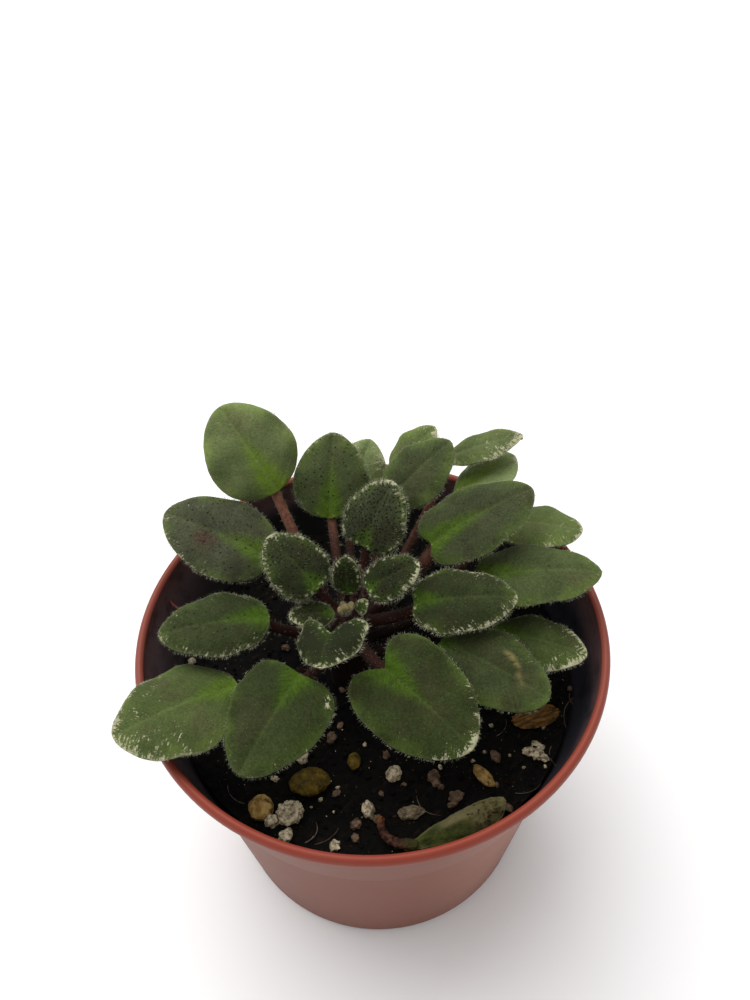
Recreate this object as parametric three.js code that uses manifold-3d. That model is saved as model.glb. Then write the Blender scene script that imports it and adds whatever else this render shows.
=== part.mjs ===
// A small variegated African violet growing in a thin plastic nursery pot.
// Millimetres, +Z up. The origin is the centre of the pot's flat base.
import * as THREE from "three";
import { mergeVertices } from "three/addons/utils/BufferGeometryUtils.js";
import Module from "manifold-3d";

// Driving dimensions of the pot
const POT_HEIGHT = 60;
const RIM_RADIUS = 40;
const COLLAR_TOP_RADIUS = 39.4;
const COLLAR_BASE_RADIUS = 34.8;
const COLLAR_HEIGHT = 20;
const STACKING_STEP = 0.5;
const BASE_RADIUS = 29.4;
const FOOT_ROUND = 1.5;
const WALL = 1;
const LIP_WIDTH = 1.6;
const LIP_DEPTH = 2.4;
const DRAIN_HOLES = 6;
const DRAIN_RADIUS = 3;
const DRAIN_CIRCLE_RADIUS = 19;
const POT_SIDES = 48;
const DRAIN_SIDES = 16;

// Driving dimensions of the soil and the plant. Heights in the lists below are above the pot's rim.
const CLEARANCE = 0.3;
const SOIL_TOP = -13.5;
const SOIL_UNEVENNESS = 0.42;
const SOIL_EDGE_DEPTH = 1.5;
const SOIL_SIDES = 40;
const SOIL_RINGS = 7;
const CROWN = { x: -4, y: 0, bottom: -18, shoulder: -8, top: 6.5, foot: 3.8, neck: 2.2 };
const CROWN_SIDES = 14;
const CROWN_HOLE_SIDES = 20;
const BUD = { x: -4, y: -1.6, bottom: 6.85, height: 2.6, radius: 1.05 };
const BUD_SIDES = 8;
const SCALE = { thick: 0.6, broad: 0.9, high: 0.42, lean: 0.5, apart: 0.6, back: 0.3 };
const BLADE_THICKNESS = 0.85;
const RIB_KEEL = 0.4;
const BLADE_STATIONS = 10;
const YOUNG_STATIONS = 8;
const HALF_COLUMNS = 3;
const STALK_SIDES = 8;
const STALK_STEPS = 5;
const STALK_UNDER_BLADE = 1.1;
const STALK_SAG = 0.05;

const COLOURS = {
  pot: 0x96503f,
  soil: 0x15120f,
  stalk: 0x6e3a32,
  blade: 0x4a5a33,
  bud: 0x8a8a5e,
  perlite: 0xd8d2c4,
  yellowPebble: 0xa58a4a,
  ochrePebble: 0x6e5a1e,
  bark: 0x7a4a1c,
  oldLeaf: 0x8c8a45,
};

// Each leaf of the rosette: where its blade joins its stalk (base) and where it ends (tip), the blade's
// width, its roll about the midrib in degrees, and the outline: heart is the depth of the notch at the
// stalk, wide moves the widest place (lower is nearer the stalk), blunt rounds the ends (0.5 is round).
// root is the height at which the stalk leaves the crown, stalk its thickness.
const LEAVES = [
  { name: "leaf_back_left", base: [-15.2, 21.7, 12.2], tip: [-24.3, 29.6, 25.4], width: 16.4, roll: 24,
    heart: 0, wide: 0.8, blunt: 0.5, root: -4, stalk: 2.1 },
  { name: "leaf_back", base: [-6.5, 19.6, 6.8], tip: [-5, 31, 17], width: 14, roll: -5,
    heart: 0.05, wide: 0.8, blunt: 0.57, root: -3, stalk: 1.9 },
  { name: "leaf_back_low", base: [-3.5, 25.5, 3], tip: [1.6, 34.5, 11.5], width: 11, roll: -20,
    heart: 0, wide: 0.9, blunt: 0.6, root: -6, stalk: 1.7 },
  { name: "leaf_back_inner", base: [-0.8, 7.2, 13.5], tip: [4.7, 13.2, 22.2], width: 11.2, roll: -12,
    heart: 0.2, wide: 0.8, blunt: 0.53, root: 3, stalk: 1.8 },
  { name: "leaf_back_right", base: [4.1, 19, 11.2], tip: [15.4, 25.7, 18.5], width: 11.3, roll: -10,
    heart: 0, wide: 0.78, blunt: 0.55, root: -1, stalk: 2 },
  { name: "leaf_back_right_low", base: [5, 29.3, 7.5], tip: [13.5, 33.1, 15], width: 9.5, roll: 0,
    heart: 0, wide: 0.9, blunt: 0.6, root: -6, stalk: 1.6 },
  { name: "leaf_back_right_far", base: [13.8, 30.2, 9], tip: [28.8, 29.4, 15.5], width: 7.9, roll: 0,
    heart: 0, wide: 1.15, blunt: 0.66, root: -5, stalk: 1.7 },
  { name: "leaf_back_right_under", base: [16.1, 24.6, 5], tip: [27.9, 29.8, 10], width: 10.6, roll: 5,
    heart: 0, wide: 1.25, blunt: 0.55, root: -7, stalk: 1.7 },
  { name: "leaf_right_upper", base: [10.7, 9.2, 11], tip: [28.4, 15.8, 16], width: 13.5, roll: -6,
    heart: 0.25, wide: 0.86, blunt: 0.54, root: 0, stalk: 2.6 },
  { name: "leaf_right", base: [18.5, 5.5, 6], tip: [38.8, 3.5, 8], width: 13, roll: 0,
    heart: 0.15, wide: 0.9, blunt: 0.55, root: -4, stalk: 2.2 },
  { name: "leaf_right_low", base: [22.9, 19.3, 4], tip: [37.9, 14.3, 6], width: 11.8, roll: 6,
    heart: 0, wide: 0.9, blunt: 0.5, root: -7, stalk: 1.8 },
  { name: "leaf_right_inner", base: [7, -2.2, 10], tip: [23.5, -3, 11], width: 12.2, roll: -5,
    heart: 0.15, wide: 0.85, blunt: 0.55, root: 2, stalk: 2.2 },
  { name: "leaf_right_front_low", base: [20, -1.5, 0], tip: [35, -8, 1], width: 11.3, roll: 3,
    heart: 0, wide: 0.9, blunt: 0.5, root: -8, stalk: 1.9 },
  { name: "leaf_front_right", base: [11, -7, 6], tip: [26.9, -17.6, 4], width: 13.3, roll: -8,
    heart: 0.1, wide: 0.9, blunt: 0.52, root: -5, stalk: 2.2 },
  { name: "leaf_front", base: [1.8, -13.7, 9], tip: [14.1, -25.8, 5], width: 17, roll: -12,
    heart: 0.5, wide: 0.9, blunt: 0.57, root: 0, stalk: 2.2 },
  { name: "leaf_front_left", base: [-11.2, -13.9, 9], tip: [-20.4, -28, 5], width: 15.9, roll: 4,
    heart: 0.15, wide: 0.68, blunt: 0.53, root: -1, stalk: 2.1 },
  { name: "leaf_left_front_low", base: [-21.5, -11.9, 3.5], tip: [-39.9, -20.5, 4.6], width: 17.5, roll: -5,
    heart: 0.05, wide: 0.95, blunt: 0.52, root: -6, stalk: 2.1 },
  { name: "leaf_left", base: [-16.5, -1.2, 7], tip: [-34.1, -4.6, 8], width: 12, roll: 5,
    heart: 0, wide: 0.82, blunt: 0.52, root: -3, stalk: 2 },
  { name: "leaf_left_upper", base: [-16.5, 10.4, 7.6], tip: [-34.8, 18.3, 11.8], width: 14.8, roll: 18,
    heart: 0.05, wide: 0.85, blunt: 0.5, root: -5, stalk: 2.1 },
  { name: "leaf_left_inner", base: [-8.2, 0, 12], tip: [-16, 7.2, 17], width: 10.1, roll: 12,
    heart: 0.15, wide: 0.85, blunt: 0.53, root: 3.5, stalk: 1.8 },
  { name: "leaf_young_back", base: [-3.7, 0.6, 9], tip: [-3.5, 2.6, 16.6], width: 5, roll: 0,
    heart: 0, wide: 0.9, blunt: 0.5, root: 4, stalk: 1.3 },
  { name: "leaf_young_right", base: [-0.5, -0.6, 12], tip: [8.1, 1.9, 15], width: 7.6, roll: -12,
    heart: 0.1, wide: 0.85, blunt: 0.5, root: 4.5, stalk: 1.5 },
  { name: "leaf_young_left", base: [-5.8, -1.9, 8], tip: [-13.1, -3.6, 9.6], width: 5.4, roll: 5,
    heart: 0, wide: 0.9, blunt: 0.55, root: 5, stalk: 1.3 },
  { name: "leaf_young_front", base: [-6.4, -9.5, 13.2], tip: [-8, -15.1, 12.2], width: 12.8, roll: -24,
    heart: 1.1, wide: 0.8, blunt: 0.58, root: 4, stalk: 1.5 },
];

// How every blade is cupped, as slopes across it: it rises from the midrib and curls down at the margin.
// It is also arched along the midrib, and its margin waves gently.
const CUP = { rise: 0.3, curl: 0.45 };
const ARCH = 0.05;
const WAVE = 0.07;
const WAVES_ALONG = 2.5;

// A withered leaf that has dropped off and lies folded over against the front wall, with its stub.
const OLD_LEAF = {
  base: [4.8, -33.1, -11.6], tip: [19.7, -27.2, -9.1], width: 6, roll: -8,
  heart: 0, wide: 2.6, blunt: 0.4, fold: 0.6,
};
const OLD_STUB = { points: [[4.8, -32.4, -11.7], [1.1, -31.5, -11.8], [0, -27.8, -12]], thickness: 2.6 };

// Loose grains lying in the soil: place on the soil, size along, across and high, turn in degrees.
const GRAINS = [
  { name: "perlite_large", colour: "perlite", place: [-14.6, -26], size: [4, 3.8, 3.4], turn: 20 },
  { name: "perlite_middle", colour: "perlite", place: [2.5, -20.3], size: [2.8, 2.5, 2.3], turn: 50 },
  { name: "perlite_small", colour: "perlite", place: [-12.7, -16], size: [1.9, 2.6, 1.8], turn: 0 },
  { name: "perlite_long", colour: "perlite", place: [4.9, -26.7], size: [4.2, 2.2, 2], turn: 10 },
  { name: "perlite_flake", colour: "perlite", place: [26.6, -17.3], size: [4, 3.6, 1.5], turn: -40 },
  { name: "pebble_round", colour: "yellowPebble", place: [-19.2, -25], size: [4, 4.4, 3.2], turn: 10 },
  { name: "pebble_flat", colour: "ochrePebble", place: [-11.4, -20.6], size: [6.6, 4.8, 2.6], turn: 5 },
  { name: "pebble_little", colour: "yellowPebble", place: [-4, -17.3], size: [2.2, 3, 1.8], turn: 0 },
  { name: "pebble_long", colour: "yellowPebble", place: [17.2, -21.3], size: [2.2, 4.6, 2], turn: 35 },
  { name: "bark_chip", colour: "bark", place: [27.6, -10.8], size: [8.2, 4, 1.7], turn: 15 },
];
const GRAIN_SUNK = 0.35;
const GRAIN_ROUGHNESS = 0.08;

const wasm = await Module();
wasm.setup();

const part = new THREE.Group();

function addMesh(name, geometry, colour, roughness) {
  const material = new THREE.MeshStandardMaterial({ color: COLOURS[colour], roughness, metalness: 0 });
  const mesh = new THREE.Mesh(geometry, material);
  mesh.name = name;
  part.add(mesh);
}

// Solids: a closed geometry as a manifold and back

function toSolid(geometry) {
  const bare = geometry.clone();
  bare.deleteAttribute("normal");
  bare.deleteAttribute("uv");
  const merged = mergeVertices(bare, 1e-4);
  const mesh = new wasm.Mesh({
    numProp: 3,
    vertProperties: new Float32Array(merged.attributes.position.array),
    triVerts: new Uint32Array(merged.index.array),
  });
  return new wasm.Manifold(mesh);
}

// Of a solid cut in pieces, only the largest stays: the others are scraps.
function toGeometry(solid) {
  const pieces = solid.decompose();
  pieces.sort((a, b) => b.volume() - a.volume());
  const mesh = pieces[0].getMesh();
  return meshGeometry(mesh.vertProperties, mesh.triVerts);
}

function meshGeometry(positions, triangles) {
  const geometry = new THREE.BufferGeometry();
  geometry.setAttribute("position", new THREE.BufferAttribute(new Float32Array(positions), 3));
  geometry.setIndex(new THREE.BufferAttribute(new Uint32Array(triangles), 1));
  geometry.computeVertexNormals();
  return geometry;
}

// The pot

function wallRadius(height) {
  const collarBase = POT_HEIGHT - COLLAR_HEIGHT;
  if (height >= collarBase) {
    const along = (height - collarBase) / (COLLAR_HEIGHT - LIP_DEPTH);
    return COLLAR_BASE_RADIUS + (COLLAR_TOP_RADIUS - COLLAR_BASE_RADIUS) * along;
  }
  const along = height / collarBase;
  return BASE_RADIUS + (COLLAR_BASE_RADIUS - STACKING_STEP - BASE_RADIUS) * along;
}

function arc(centre, radii, from, to, steps) {
  const points = [];
  for (let i = 0; i <= steps; i++) {
    const angle = THREE.MathUtils.degToRad(from + ((to - from) * i) / steps);
    points.push(new THREE.Vector2(
      centre[0] + radii[0] * Math.cos(angle),
      centre[1] + radii[1] * Math.sin(angle),
    ));
  }
  return points;
}

function potGeometry() {
  const underLip = POT_HEIGHT - LIP_DEPTH;
  const collarBase = POT_HEIGHT - COLLAR_HEIGHT;
  const lipCentre = [RIM_RADIUS - LIP_WIDTH / 2, POT_HEIGHT - LIP_DEPTH / 2];
  const profile = [
    new THREE.Vector2(0, 0),
    ...arc([BASE_RADIUS - FOOT_ROUND, FOOT_ROUND], [FOOT_ROUND, FOOT_ROUND], -90, 0, 3),
    new THREE.Vector2(wallRadius(collarBase - 0.01), collarBase - STACKING_STEP),
    new THREE.Vector2(wallRadius(collarBase), collarBase),
    new THREE.Vector2(wallRadius(underLip), underLip),
    ...arc(lipCentre, [LIP_WIDTH / 2, LIP_DEPTH / 2], -80, 150, 7),
    new THREE.Vector2(wallRadius(underLip) - WALL, underLip - 1),
    new THREE.Vector2(wallRadius(collarBase) - WALL, collarBase),
    new THREE.Vector2(wallRadius(collarBase - 0.01) - WALL, collarBase - STACKING_STEP),
    new THREE.Vector2(BASE_RADIUS - WALL, FOOT_ROUND + WALL),
    new THREE.Vector2(BASE_RADIUS - WALL - FOOT_ROUND, WALL),
    new THREE.Vector2(0, WALL),
  ];
  const lathe = new THREE.LatheGeometry(profile, POT_SIDES);
  lathe.rotateX(Math.PI / 2);
  let solid = toSolid(lathe);
  for (let i = 0; i < DRAIN_HOLES; i++) {
    const angle = (2 * Math.PI * i) / DRAIN_HOLES;
    const hole = new THREE.CylinderGeometry(DRAIN_RADIUS, DRAIN_RADIUS, 4 * WALL, DRAIN_SIDES);
    hole.rotateX(Math.PI / 2);
    hole.translate(DRAIN_CIRCLE_RADIUS * Math.cos(angle), DRAIN_CIRCLE_RADIUS * Math.sin(angle), 0);
    solid = solid.subtract(toSolid(hole));
  }
  return toGeometry(solid);
}

// The soil: a plug that fills the pot, uneven on top, with a plain hole for the crown and beds for the grains

function soilHeight(x, y) {
  const broad = Math.sin(0.31 * x + 1.3) * Math.cos(0.27 * y - 0.4);
  const fine = 0.6 * Math.sin(0.62 * y + 0.45 * x);
  return POT_HEIGHT + SOIL_TOP + SOIL_UNEVENNESS * (broad + fine);
}

function soilPlug() {
  const inset = WALL + CLEARANCE;
  const underCollar = POT_HEIGHT - COLLAR_HEIGHT - 2 * STACKING_STEP;
  const side = [
    [BASE_RADIUS - inset - FOOT_ROUND, inset],
    [BASE_RADIUS - inset, inset + 2 * FOOT_ROUND],
    [wallRadius(underCollar) - inset, underCollar],
  ];
  const topRadius = wallRadius(POT_HEIGHT + SOIL_TOP - SOIL_EDGE_DEPTH) - inset;
  const positions = [0, 0, WALL + CLEARANCE];
  const rows = [];
  const addRow = (pointAt) => {
    const row = [];
    for (let i = 0; i < SOIL_SIDES; i++) {
      const angle = (2 * Math.PI * i) / SOIL_SIDES;
      row.push(positions.length / 3);
      positions.push(...pointAt(Math.cos(angle), Math.sin(angle)));
    }
    rows.push(row);
  };
  for (const [radius, height] of side) {
    addRow((c, s) => [radius * c, radius * s, height]);
  }
  for (let ring = 0; ring < SOIL_RINGS; ring++) {
    const radius = (topRadius * (SOIL_RINGS - ring)) / SOIL_RINGS;
    addRow((c, s) => [radius * c, radius * s, soilHeight(radius * c, radius * s)]);
  }
  const summit = positions.length / 3;
  positions.push(0, 0, soilHeight(0, 0));
  const triangles = [];
  for (let i = 0; i < SOIL_SIDES; i++) {
    const j = (i + 1) % SOIL_SIDES;
    triangles.push(0, rows[0][j], rows[0][i]);
    for (let k = 0; k + 1 < rows.length; k++) {
      const [a, b] = [rows[k], rows[k + 1]];
      triangles.push(a[i], a[j], b[j], a[i], b[j], b[i]);
    }
    const last = rows[rows.length - 1];
    triangles.push(last[i], last[j], summit);
  }
  return meshGeometry(positions, triangles);
}

function soilGeometry() {
  let solid = toSolid(soilPlug());
  const holeRadius = CROWN.foot + CLEARANCE;
  const holeBottom = POT_HEIGHT + CROWN.bottom - CLEARANCE;
  const hole = new THREE.CylinderGeometry(holeRadius, holeRadius, POT_HEIGHT, CROWN_HOLE_SIDES);
  hole.rotateX(Math.PI / 2);
  hole.translate(CROWN.x, CROWN.y, holeBottom + POT_HEIGHT / 2);
  solid = solid.subtract(toSolid(hole));
  for (const grain of GRAINS) {
    solid = solid.subtract(toSolid(grainGeometry(grain, CLEARANCE)));
  }
  return toGeometry(solid);
}

// A grain: a rough ball drawn out to its three sizes, partly sunk in the soil

function grainGeometry(grain, grow) {
  const geometry = new THREE.IcosahedronGeometry(1, 1);
  const points = geometry.attributes.position;
  const point = new THREE.Vector3();
  for (let i = 0; i < points.count; i++) {
    point.fromBufferAttribute(points, i);
    const bump = (Math.sin(5 * point.x + grain.turn) * Math.cos(4 * point.y + 1) + Math.sin(6 * point.z)) / 2;
    point.multiplyScalar(1 + GRAIN_ROUGHNESS * (grow ? 1 : bump));
    points.setXYZ(i, point.x, point.y, point.z);
  }
  const [along, across, high] = grain.size;
  geometry.scale(along / 2 + grow, across / 2 + grow, high / 2 + grow);
  geometry.rotateZ(THREE.MathUtils.degToRad(grain.turn));
  const [x, y] = grain.place;
  geometry.translate(x, y, soilHeight(x, y) + high * (0.5 - GRAIN_SUNK));
  return geometry;
}

// The leaves

function raised(point) {
  return new THREE.Vector3(point[0], point[1], point[2] + POT_HEIGHT);
}

// A blade's own axes: along its midrib, across to its left, and up out of its face
function bladeAxes(leaf) {
  const base = raised(leaf.base);
  const along = raised(leaf.tip).sub(base);
  const length = along.length();
  along.normalize();
  const up = new THREE.Vector3(0, 0, 1).addScaledVector(along, -along.z).normalize();
  const across = new THREE.Vector3().crossVectors(up, along);
  const roll = THREE.MathUtils.degToRad(leaf.roll);
  const faceUp = up.clone().multiplyScalar(Math.cos(roll)).addScaledVector(across, Math.sin(roll));
  const left = across.clone().multiplyScalar(Math.cos(roll)).addScaledVector(up, -Math.sin(roll));
  return { base, length, along, left, up: faceUp };
}

// A point of the blade. station runs from 0 at the stalk to 1 at the tip, side from -1 to 1 across,
// and lift is the height above the blade's face.
function bladePoint(leaf, axes, station, side, lift) {
  const away = Math.abs(side);
  const half = (leaf.width / 2) * Math.max(0, Math.sin(Math.PI * station ** leaf.wide)) ** leaf.blunt;
  const lobe = leaf.heart * 2 * Math.sqrt(station * (1 - station)) * (1 - station) ** 1.5;
  const x = axes.length * (station - lobe * away);
  const y = side * half;
  const wave = WAVE * away ** 2 * Math.sin(2 * Math.PI * WAVES_ALONG * station + leaf.base[0] + side);
  const cupped = leaf.fold ? -leaf.fold * away : away * (CUP.rise - CUP.curl * away) + wave;
  const z = ARCH * axes.length * 4 * station * (1 - station) + half * cupped + lift;
  return axes.base.clone()
    .addScaledVector(axes.along, x)
    .addScaledVector(axes.left, y)
    .addScaledVector(axes.up, z);
}

// The blade as a closed solid: a top and a bottom face on the same grid, joined round the margin
function bladeGeometry(leaf, stations) {
  const axes = bladeAxes(leaf);
  const positions = [];
  const columns = 2 * HALF_COLUMNS + 1;
  const addFace = (bottom) => {
    const rows = [];
    for (let i = 0; i <= stations; i++) {
      const station = (1 - Math.cos((Math.PI * i) / stations)) / 2;
      const pole = i === 0 || i === stations;
      const row = [];
      for (let k = 0; k < (pole ? 1 : columns); k++) {
        const side = pole ? 0 : k / HALF_COLUMNS - 1;
        const keel = side === 0 && !pole ? RIB_KEEL * (1 - station) : 0;
        const lift = bottom ? -BLADE_THICKNESS - keel : 0;
        row.push(positions.length / 3);
        positions.push(...bladePoint(leaf, axes, station, side, lift).toArray());
      }
      rows.push(row);
    }
    return rows;
  };
  const top = addFace(false);
  const bottom = addFace(true);
  const triangles = [];
  const face = (a, b, c, flip) => triangles.push(...(flip ? [a, c, b] : [a, b, c]));
  for (const [rows, flip] of [[top, false], [bottom, true]]) {
    for (let k = 0; k + 1 < columns; k++) {
      face(rows[0][0], rows[1][k], rows[1][k + 1], flip);
      face(rows[stations][0], rows[stations - 1][k + 1], rows[stations - 1][k], flip);
      for (let i = 1; i + 1 < stations; i++) {
        const [a, b] = [rows[i], rows[i + 1]];
        const rising = k < HALF_COLUMNS;
        if (rising) {
          face(a[k], b[k], b[k + 1], flip);
          face(a[k], b[k + 1], a[k + 1], flip);
        } else {
          face(a[k], b[k], a[k + 1], flip);
          face(b[k], b[k + 1], a[k + 1], flip);
        }
      }
    }
  }
  const margin = (rows) => [
    rows[0][0],
    ...rows.slice(1, -1).map((row) => row[0]),
    rows[stations][0],
    ...rows.slice(1, -1).map((row) => row[columns - 1]).reverse(),
  ];
  const [above, below] = [margin(top), margin(bottom)];
  for (let i = 0; i < above.length; i++) {
    const j = (i + 1) % above.length;
    triangles.push(above[i], below[i], below[j], above[i], below[j], above[j]);
  }
  return meshGeometry(positions, triangles);
}

// The crown with all the leaf stalks growing out of it, in one piece

function stalkGeometry(points, thickness) {
  const section = new THREE.Shape();
  section.absarc(0, 0, thickness / 2, 0, 2 * Math.PI);
  return new THREE.ExtrudeGeometry(section, {
    steps: STALK_STEPS,
    curveSegments: STALK_SIDES / 2,
    extrudePath: new THREE.CatmullRomCurve3(points),
  });
}

// The stalk runs from inside the crown to just under the blade's first stretch.
function leafStalk(leaf) {
  const { base, along, up } = bladeAxes(leaf);
  const root = new THREE.Vector3(CROWN.x, CROWN.y, POT_HEIGHT + leaf.root);
  const below = BLADE_THICKNESS + RIB_KEEL + CLEARANCE + leaf.stalk / 2;
  const join = base.clone().addScaledVector(up, -below).addScaledVector(along, STALK_UNDER_BLADE);
  const middle = root.clone().lerp(join, 0.5);
  middle.z -= STALK_SAG * root.distanceTo(join);
  return stalkGeometry([root, middle, join], leaf.stalk);
}

function crownGeometry() {
  const { bottom, shoulder, top, foot, neck } = CROWN;
  const profile = [
    new THREE.Vector2(0, bottom),
    new THREE.Vector2(foot * 0.8, bottom),
    new THREE.Vector2(foot, bottom + foot / 2),
    new THREE.Vector2(foot, shoulder),
    new THREE.Vector2((foot + neck) / 2, top - neck),
    new THREE.Vector2(neck, top - neck / 4),
    new THREE.Vector2(0, top),
  ];
  const lathe = new THREE.LatheGeometry(profile, CROWN_SIDES);
  lathe.rotateX(Math.PI / 2);
  lathe.translate(CROWN.x, CROWN.y, POT_HEIGHT);
  let solid = toSolid(lathe);
  for (const leaf of LEAVES) {
    solid = solid.add(toSolid(leafStalk(leaf)));
  }
  return toGeometry(solid);
}

// The growing tip: a pale bud between two scales that are just opening
function budGeometry() {
  const { x, y, bottom, height, radius } = BUD;
  const profile = [
    new THREE.Vector2(0, 0),
    new THREE.Vector2(radius * 0.7, 0),
    new THREE.Vector2(radius, height * 0.35),
    new THREE.Vector2(radius * 0.6, height * 0.75),
    new THREE.Vector2(0, height),
  ];
  const lathe = new THREE.LatheGeometry(profile, BUD_SIDES);
  lathe.rotateX(Math.PI / 2);
  lathe.translate(x, y, POT_HEIGHT + bottom);
  let solid = toSolid(lathe);
  for (const side of [-1, 1]) {
    const scale = new THREE.SphereGeometry(1, BUD_SIDES, BUD_SIDES - 2);
    scale.scale(radius * SCALE.thick, radius * SCALE.broad, height * SCALE.high);
    scale.rotateY(side * SCALE.lean);
    const middle = POT_HEIGHT + bottom + height / 2;
    scale.translate(x + side * radius * SCALE.apart, y + side * SCALE.back, middle);
    solid = solid.add(toSolid(scale));
  }
  return toGeometry(solid);
}

function leafStations(leaf) {
  return leaf.name.includes("young") ? YOUNG_STATIONS : BLADE_STATIONS;
}

addMesh("pot", potGeometry(), "pot", 0.6);
addMesh("soil", soilGeometry(), "soil", 0.95);
addMesh("crown_and_stalks", crownGeometry(), "stalk", 0.6);
for (const leaf of LEAVES) {
  addMesh(leaf.name, bladeGeometry(leaf, leafStations(leaf)), "blade", 0.75);
}
for (const grain of GRAINS) {
  addMesh(grain.name, grainGeometry(grain, 0), grain.colour, 0.9);
}
addMesh("growth_bud", budGeometry(), "bud", 0.8);
addMesh("old_leaf", bladeGeometry(OLD_LEAF, YOUNG_STATIONS), "oldLeaf", 0.8);
addMesh("old_leaf_stub", stalkGeometry(OLD_STUB.points.map(raised), OLD_STUB.thickness), "stalk", 0.7);

export default part;
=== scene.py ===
"""A small variegated African violet in a plastic nursery pot.

Laid out as a Blender 4.5 add-on and run as a script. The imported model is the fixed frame: its nodes give
the places and sizes, and the pieces made here stand for them with finer shapes and finished surfaces.
"""

import math
import random

import bmesh
import bpy
import numpy as np
from bpy.props import FloatProperty, FloatVectorProperty, IntProperty, PointerProperty
from mathutils import Matrix, Vector, noise


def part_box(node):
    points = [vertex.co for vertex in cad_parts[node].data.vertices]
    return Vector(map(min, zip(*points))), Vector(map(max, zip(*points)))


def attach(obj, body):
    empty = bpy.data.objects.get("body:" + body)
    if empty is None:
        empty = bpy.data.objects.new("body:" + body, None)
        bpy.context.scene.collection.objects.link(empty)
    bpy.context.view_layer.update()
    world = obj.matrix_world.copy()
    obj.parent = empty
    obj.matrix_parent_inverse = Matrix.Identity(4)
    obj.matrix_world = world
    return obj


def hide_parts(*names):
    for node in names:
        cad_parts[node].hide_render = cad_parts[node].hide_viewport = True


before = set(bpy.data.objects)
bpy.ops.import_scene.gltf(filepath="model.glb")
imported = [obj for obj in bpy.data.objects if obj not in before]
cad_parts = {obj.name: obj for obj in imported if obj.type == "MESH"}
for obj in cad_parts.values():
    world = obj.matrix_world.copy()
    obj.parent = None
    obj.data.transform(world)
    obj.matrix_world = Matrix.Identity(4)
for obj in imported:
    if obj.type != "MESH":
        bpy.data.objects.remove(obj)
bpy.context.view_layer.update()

bl_info = {
    "name": "Potted African Violet",
    "version": (1, 0, 0),
    "blender": (4, 5, 0),
    "location": "View3D > Sidebar > Violet",
    "description": "Builds a variegated African violet in its nursery pot over the packed model",
    "category": "Object",
}

MM = 0.001

# The pot, in millimetres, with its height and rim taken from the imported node
POT_LOW, POT_HIGH = (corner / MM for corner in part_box("pot"))
POT_HEIGHT = POT_HIGH.z
RIM_RADIUS = (POT_HIGH.y - POT_LOW.y) / 2
COLLAR_TOP_RADIUS = 39.4
COLLAR_BASE_RADIUS = 34.8
COLLAR_HEIGHT = 20
STACKING_STEP = 0.5
BASE_RADIUS = 29.4
FOOT_ROUND = 1.5
WALL = 1
LIP_WIDTH = 1.6
LIP_DEPTH = 2.4
DRAIN_HOLES = 6
DRAIN_RADIUS = 3
DRAIN_CIRCLE_RADIUS = 19

# The soil and the crown. Heights of the plant are above the pot's rim.
CLEARANCE = 0.3
SOIL_TOP = -13.5
SOIL_UNEVENNESS = 0.42
SOIL_EDGE_DEPTH = 1.5
CROWN = {"x": -4, "y": 0, "bottom": -18, "shoulder": -8, "top": 6.5, "foot": 3.8, "neck": 2.2}
BUD = {"x": -4, "y": -1.6, "bottom": 6.85, "height": 2.6, "radius": 1.05}

# How every blade is cupped, arched and waved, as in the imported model
CUP_RISE = 0.3
CUP_CURL = 0.45
ARCH = 0.05
WAVE = 0.07
WAVES_ALONG = 2.5
STALK_UNDER_BLADE = 1.1
STALK_SAG = 0.05

# The fields of a leaf. The first row is as in the imported model: base and tip of the midrib, width, roll
# in degrees, three for the outline, where the stalk leaves the crown, and how thick it is. The second row
# is its looks: tone is how light it is, its own green together with painted light and shade for where it
# lies in the rosette, grey how dull, flame how far the green flame reaches from the stalk, flecks the cream
# markings on its left margin, right margin, tip and whole face, rim the pale line round it, a painted
# highlight on its thick edge and hairs, pits its dark dots, and fuzz its hair. A blemish has a kind, a place
# along and across the blade, and two radii.
LEAF_FIELDS = (
    "base", "tip", "width", "roll", "heart", "wide", "blunt", "root", "stalk",
    "tone_and_painted_light", "grey", "flame", "flecks", "rim", "pits", "fuzz",
)


def leaf(*values, **more):
    """A leaf's values under the names of its fields."""
    return dict(zip(LEAF_FIELDS, values), **more)


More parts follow.
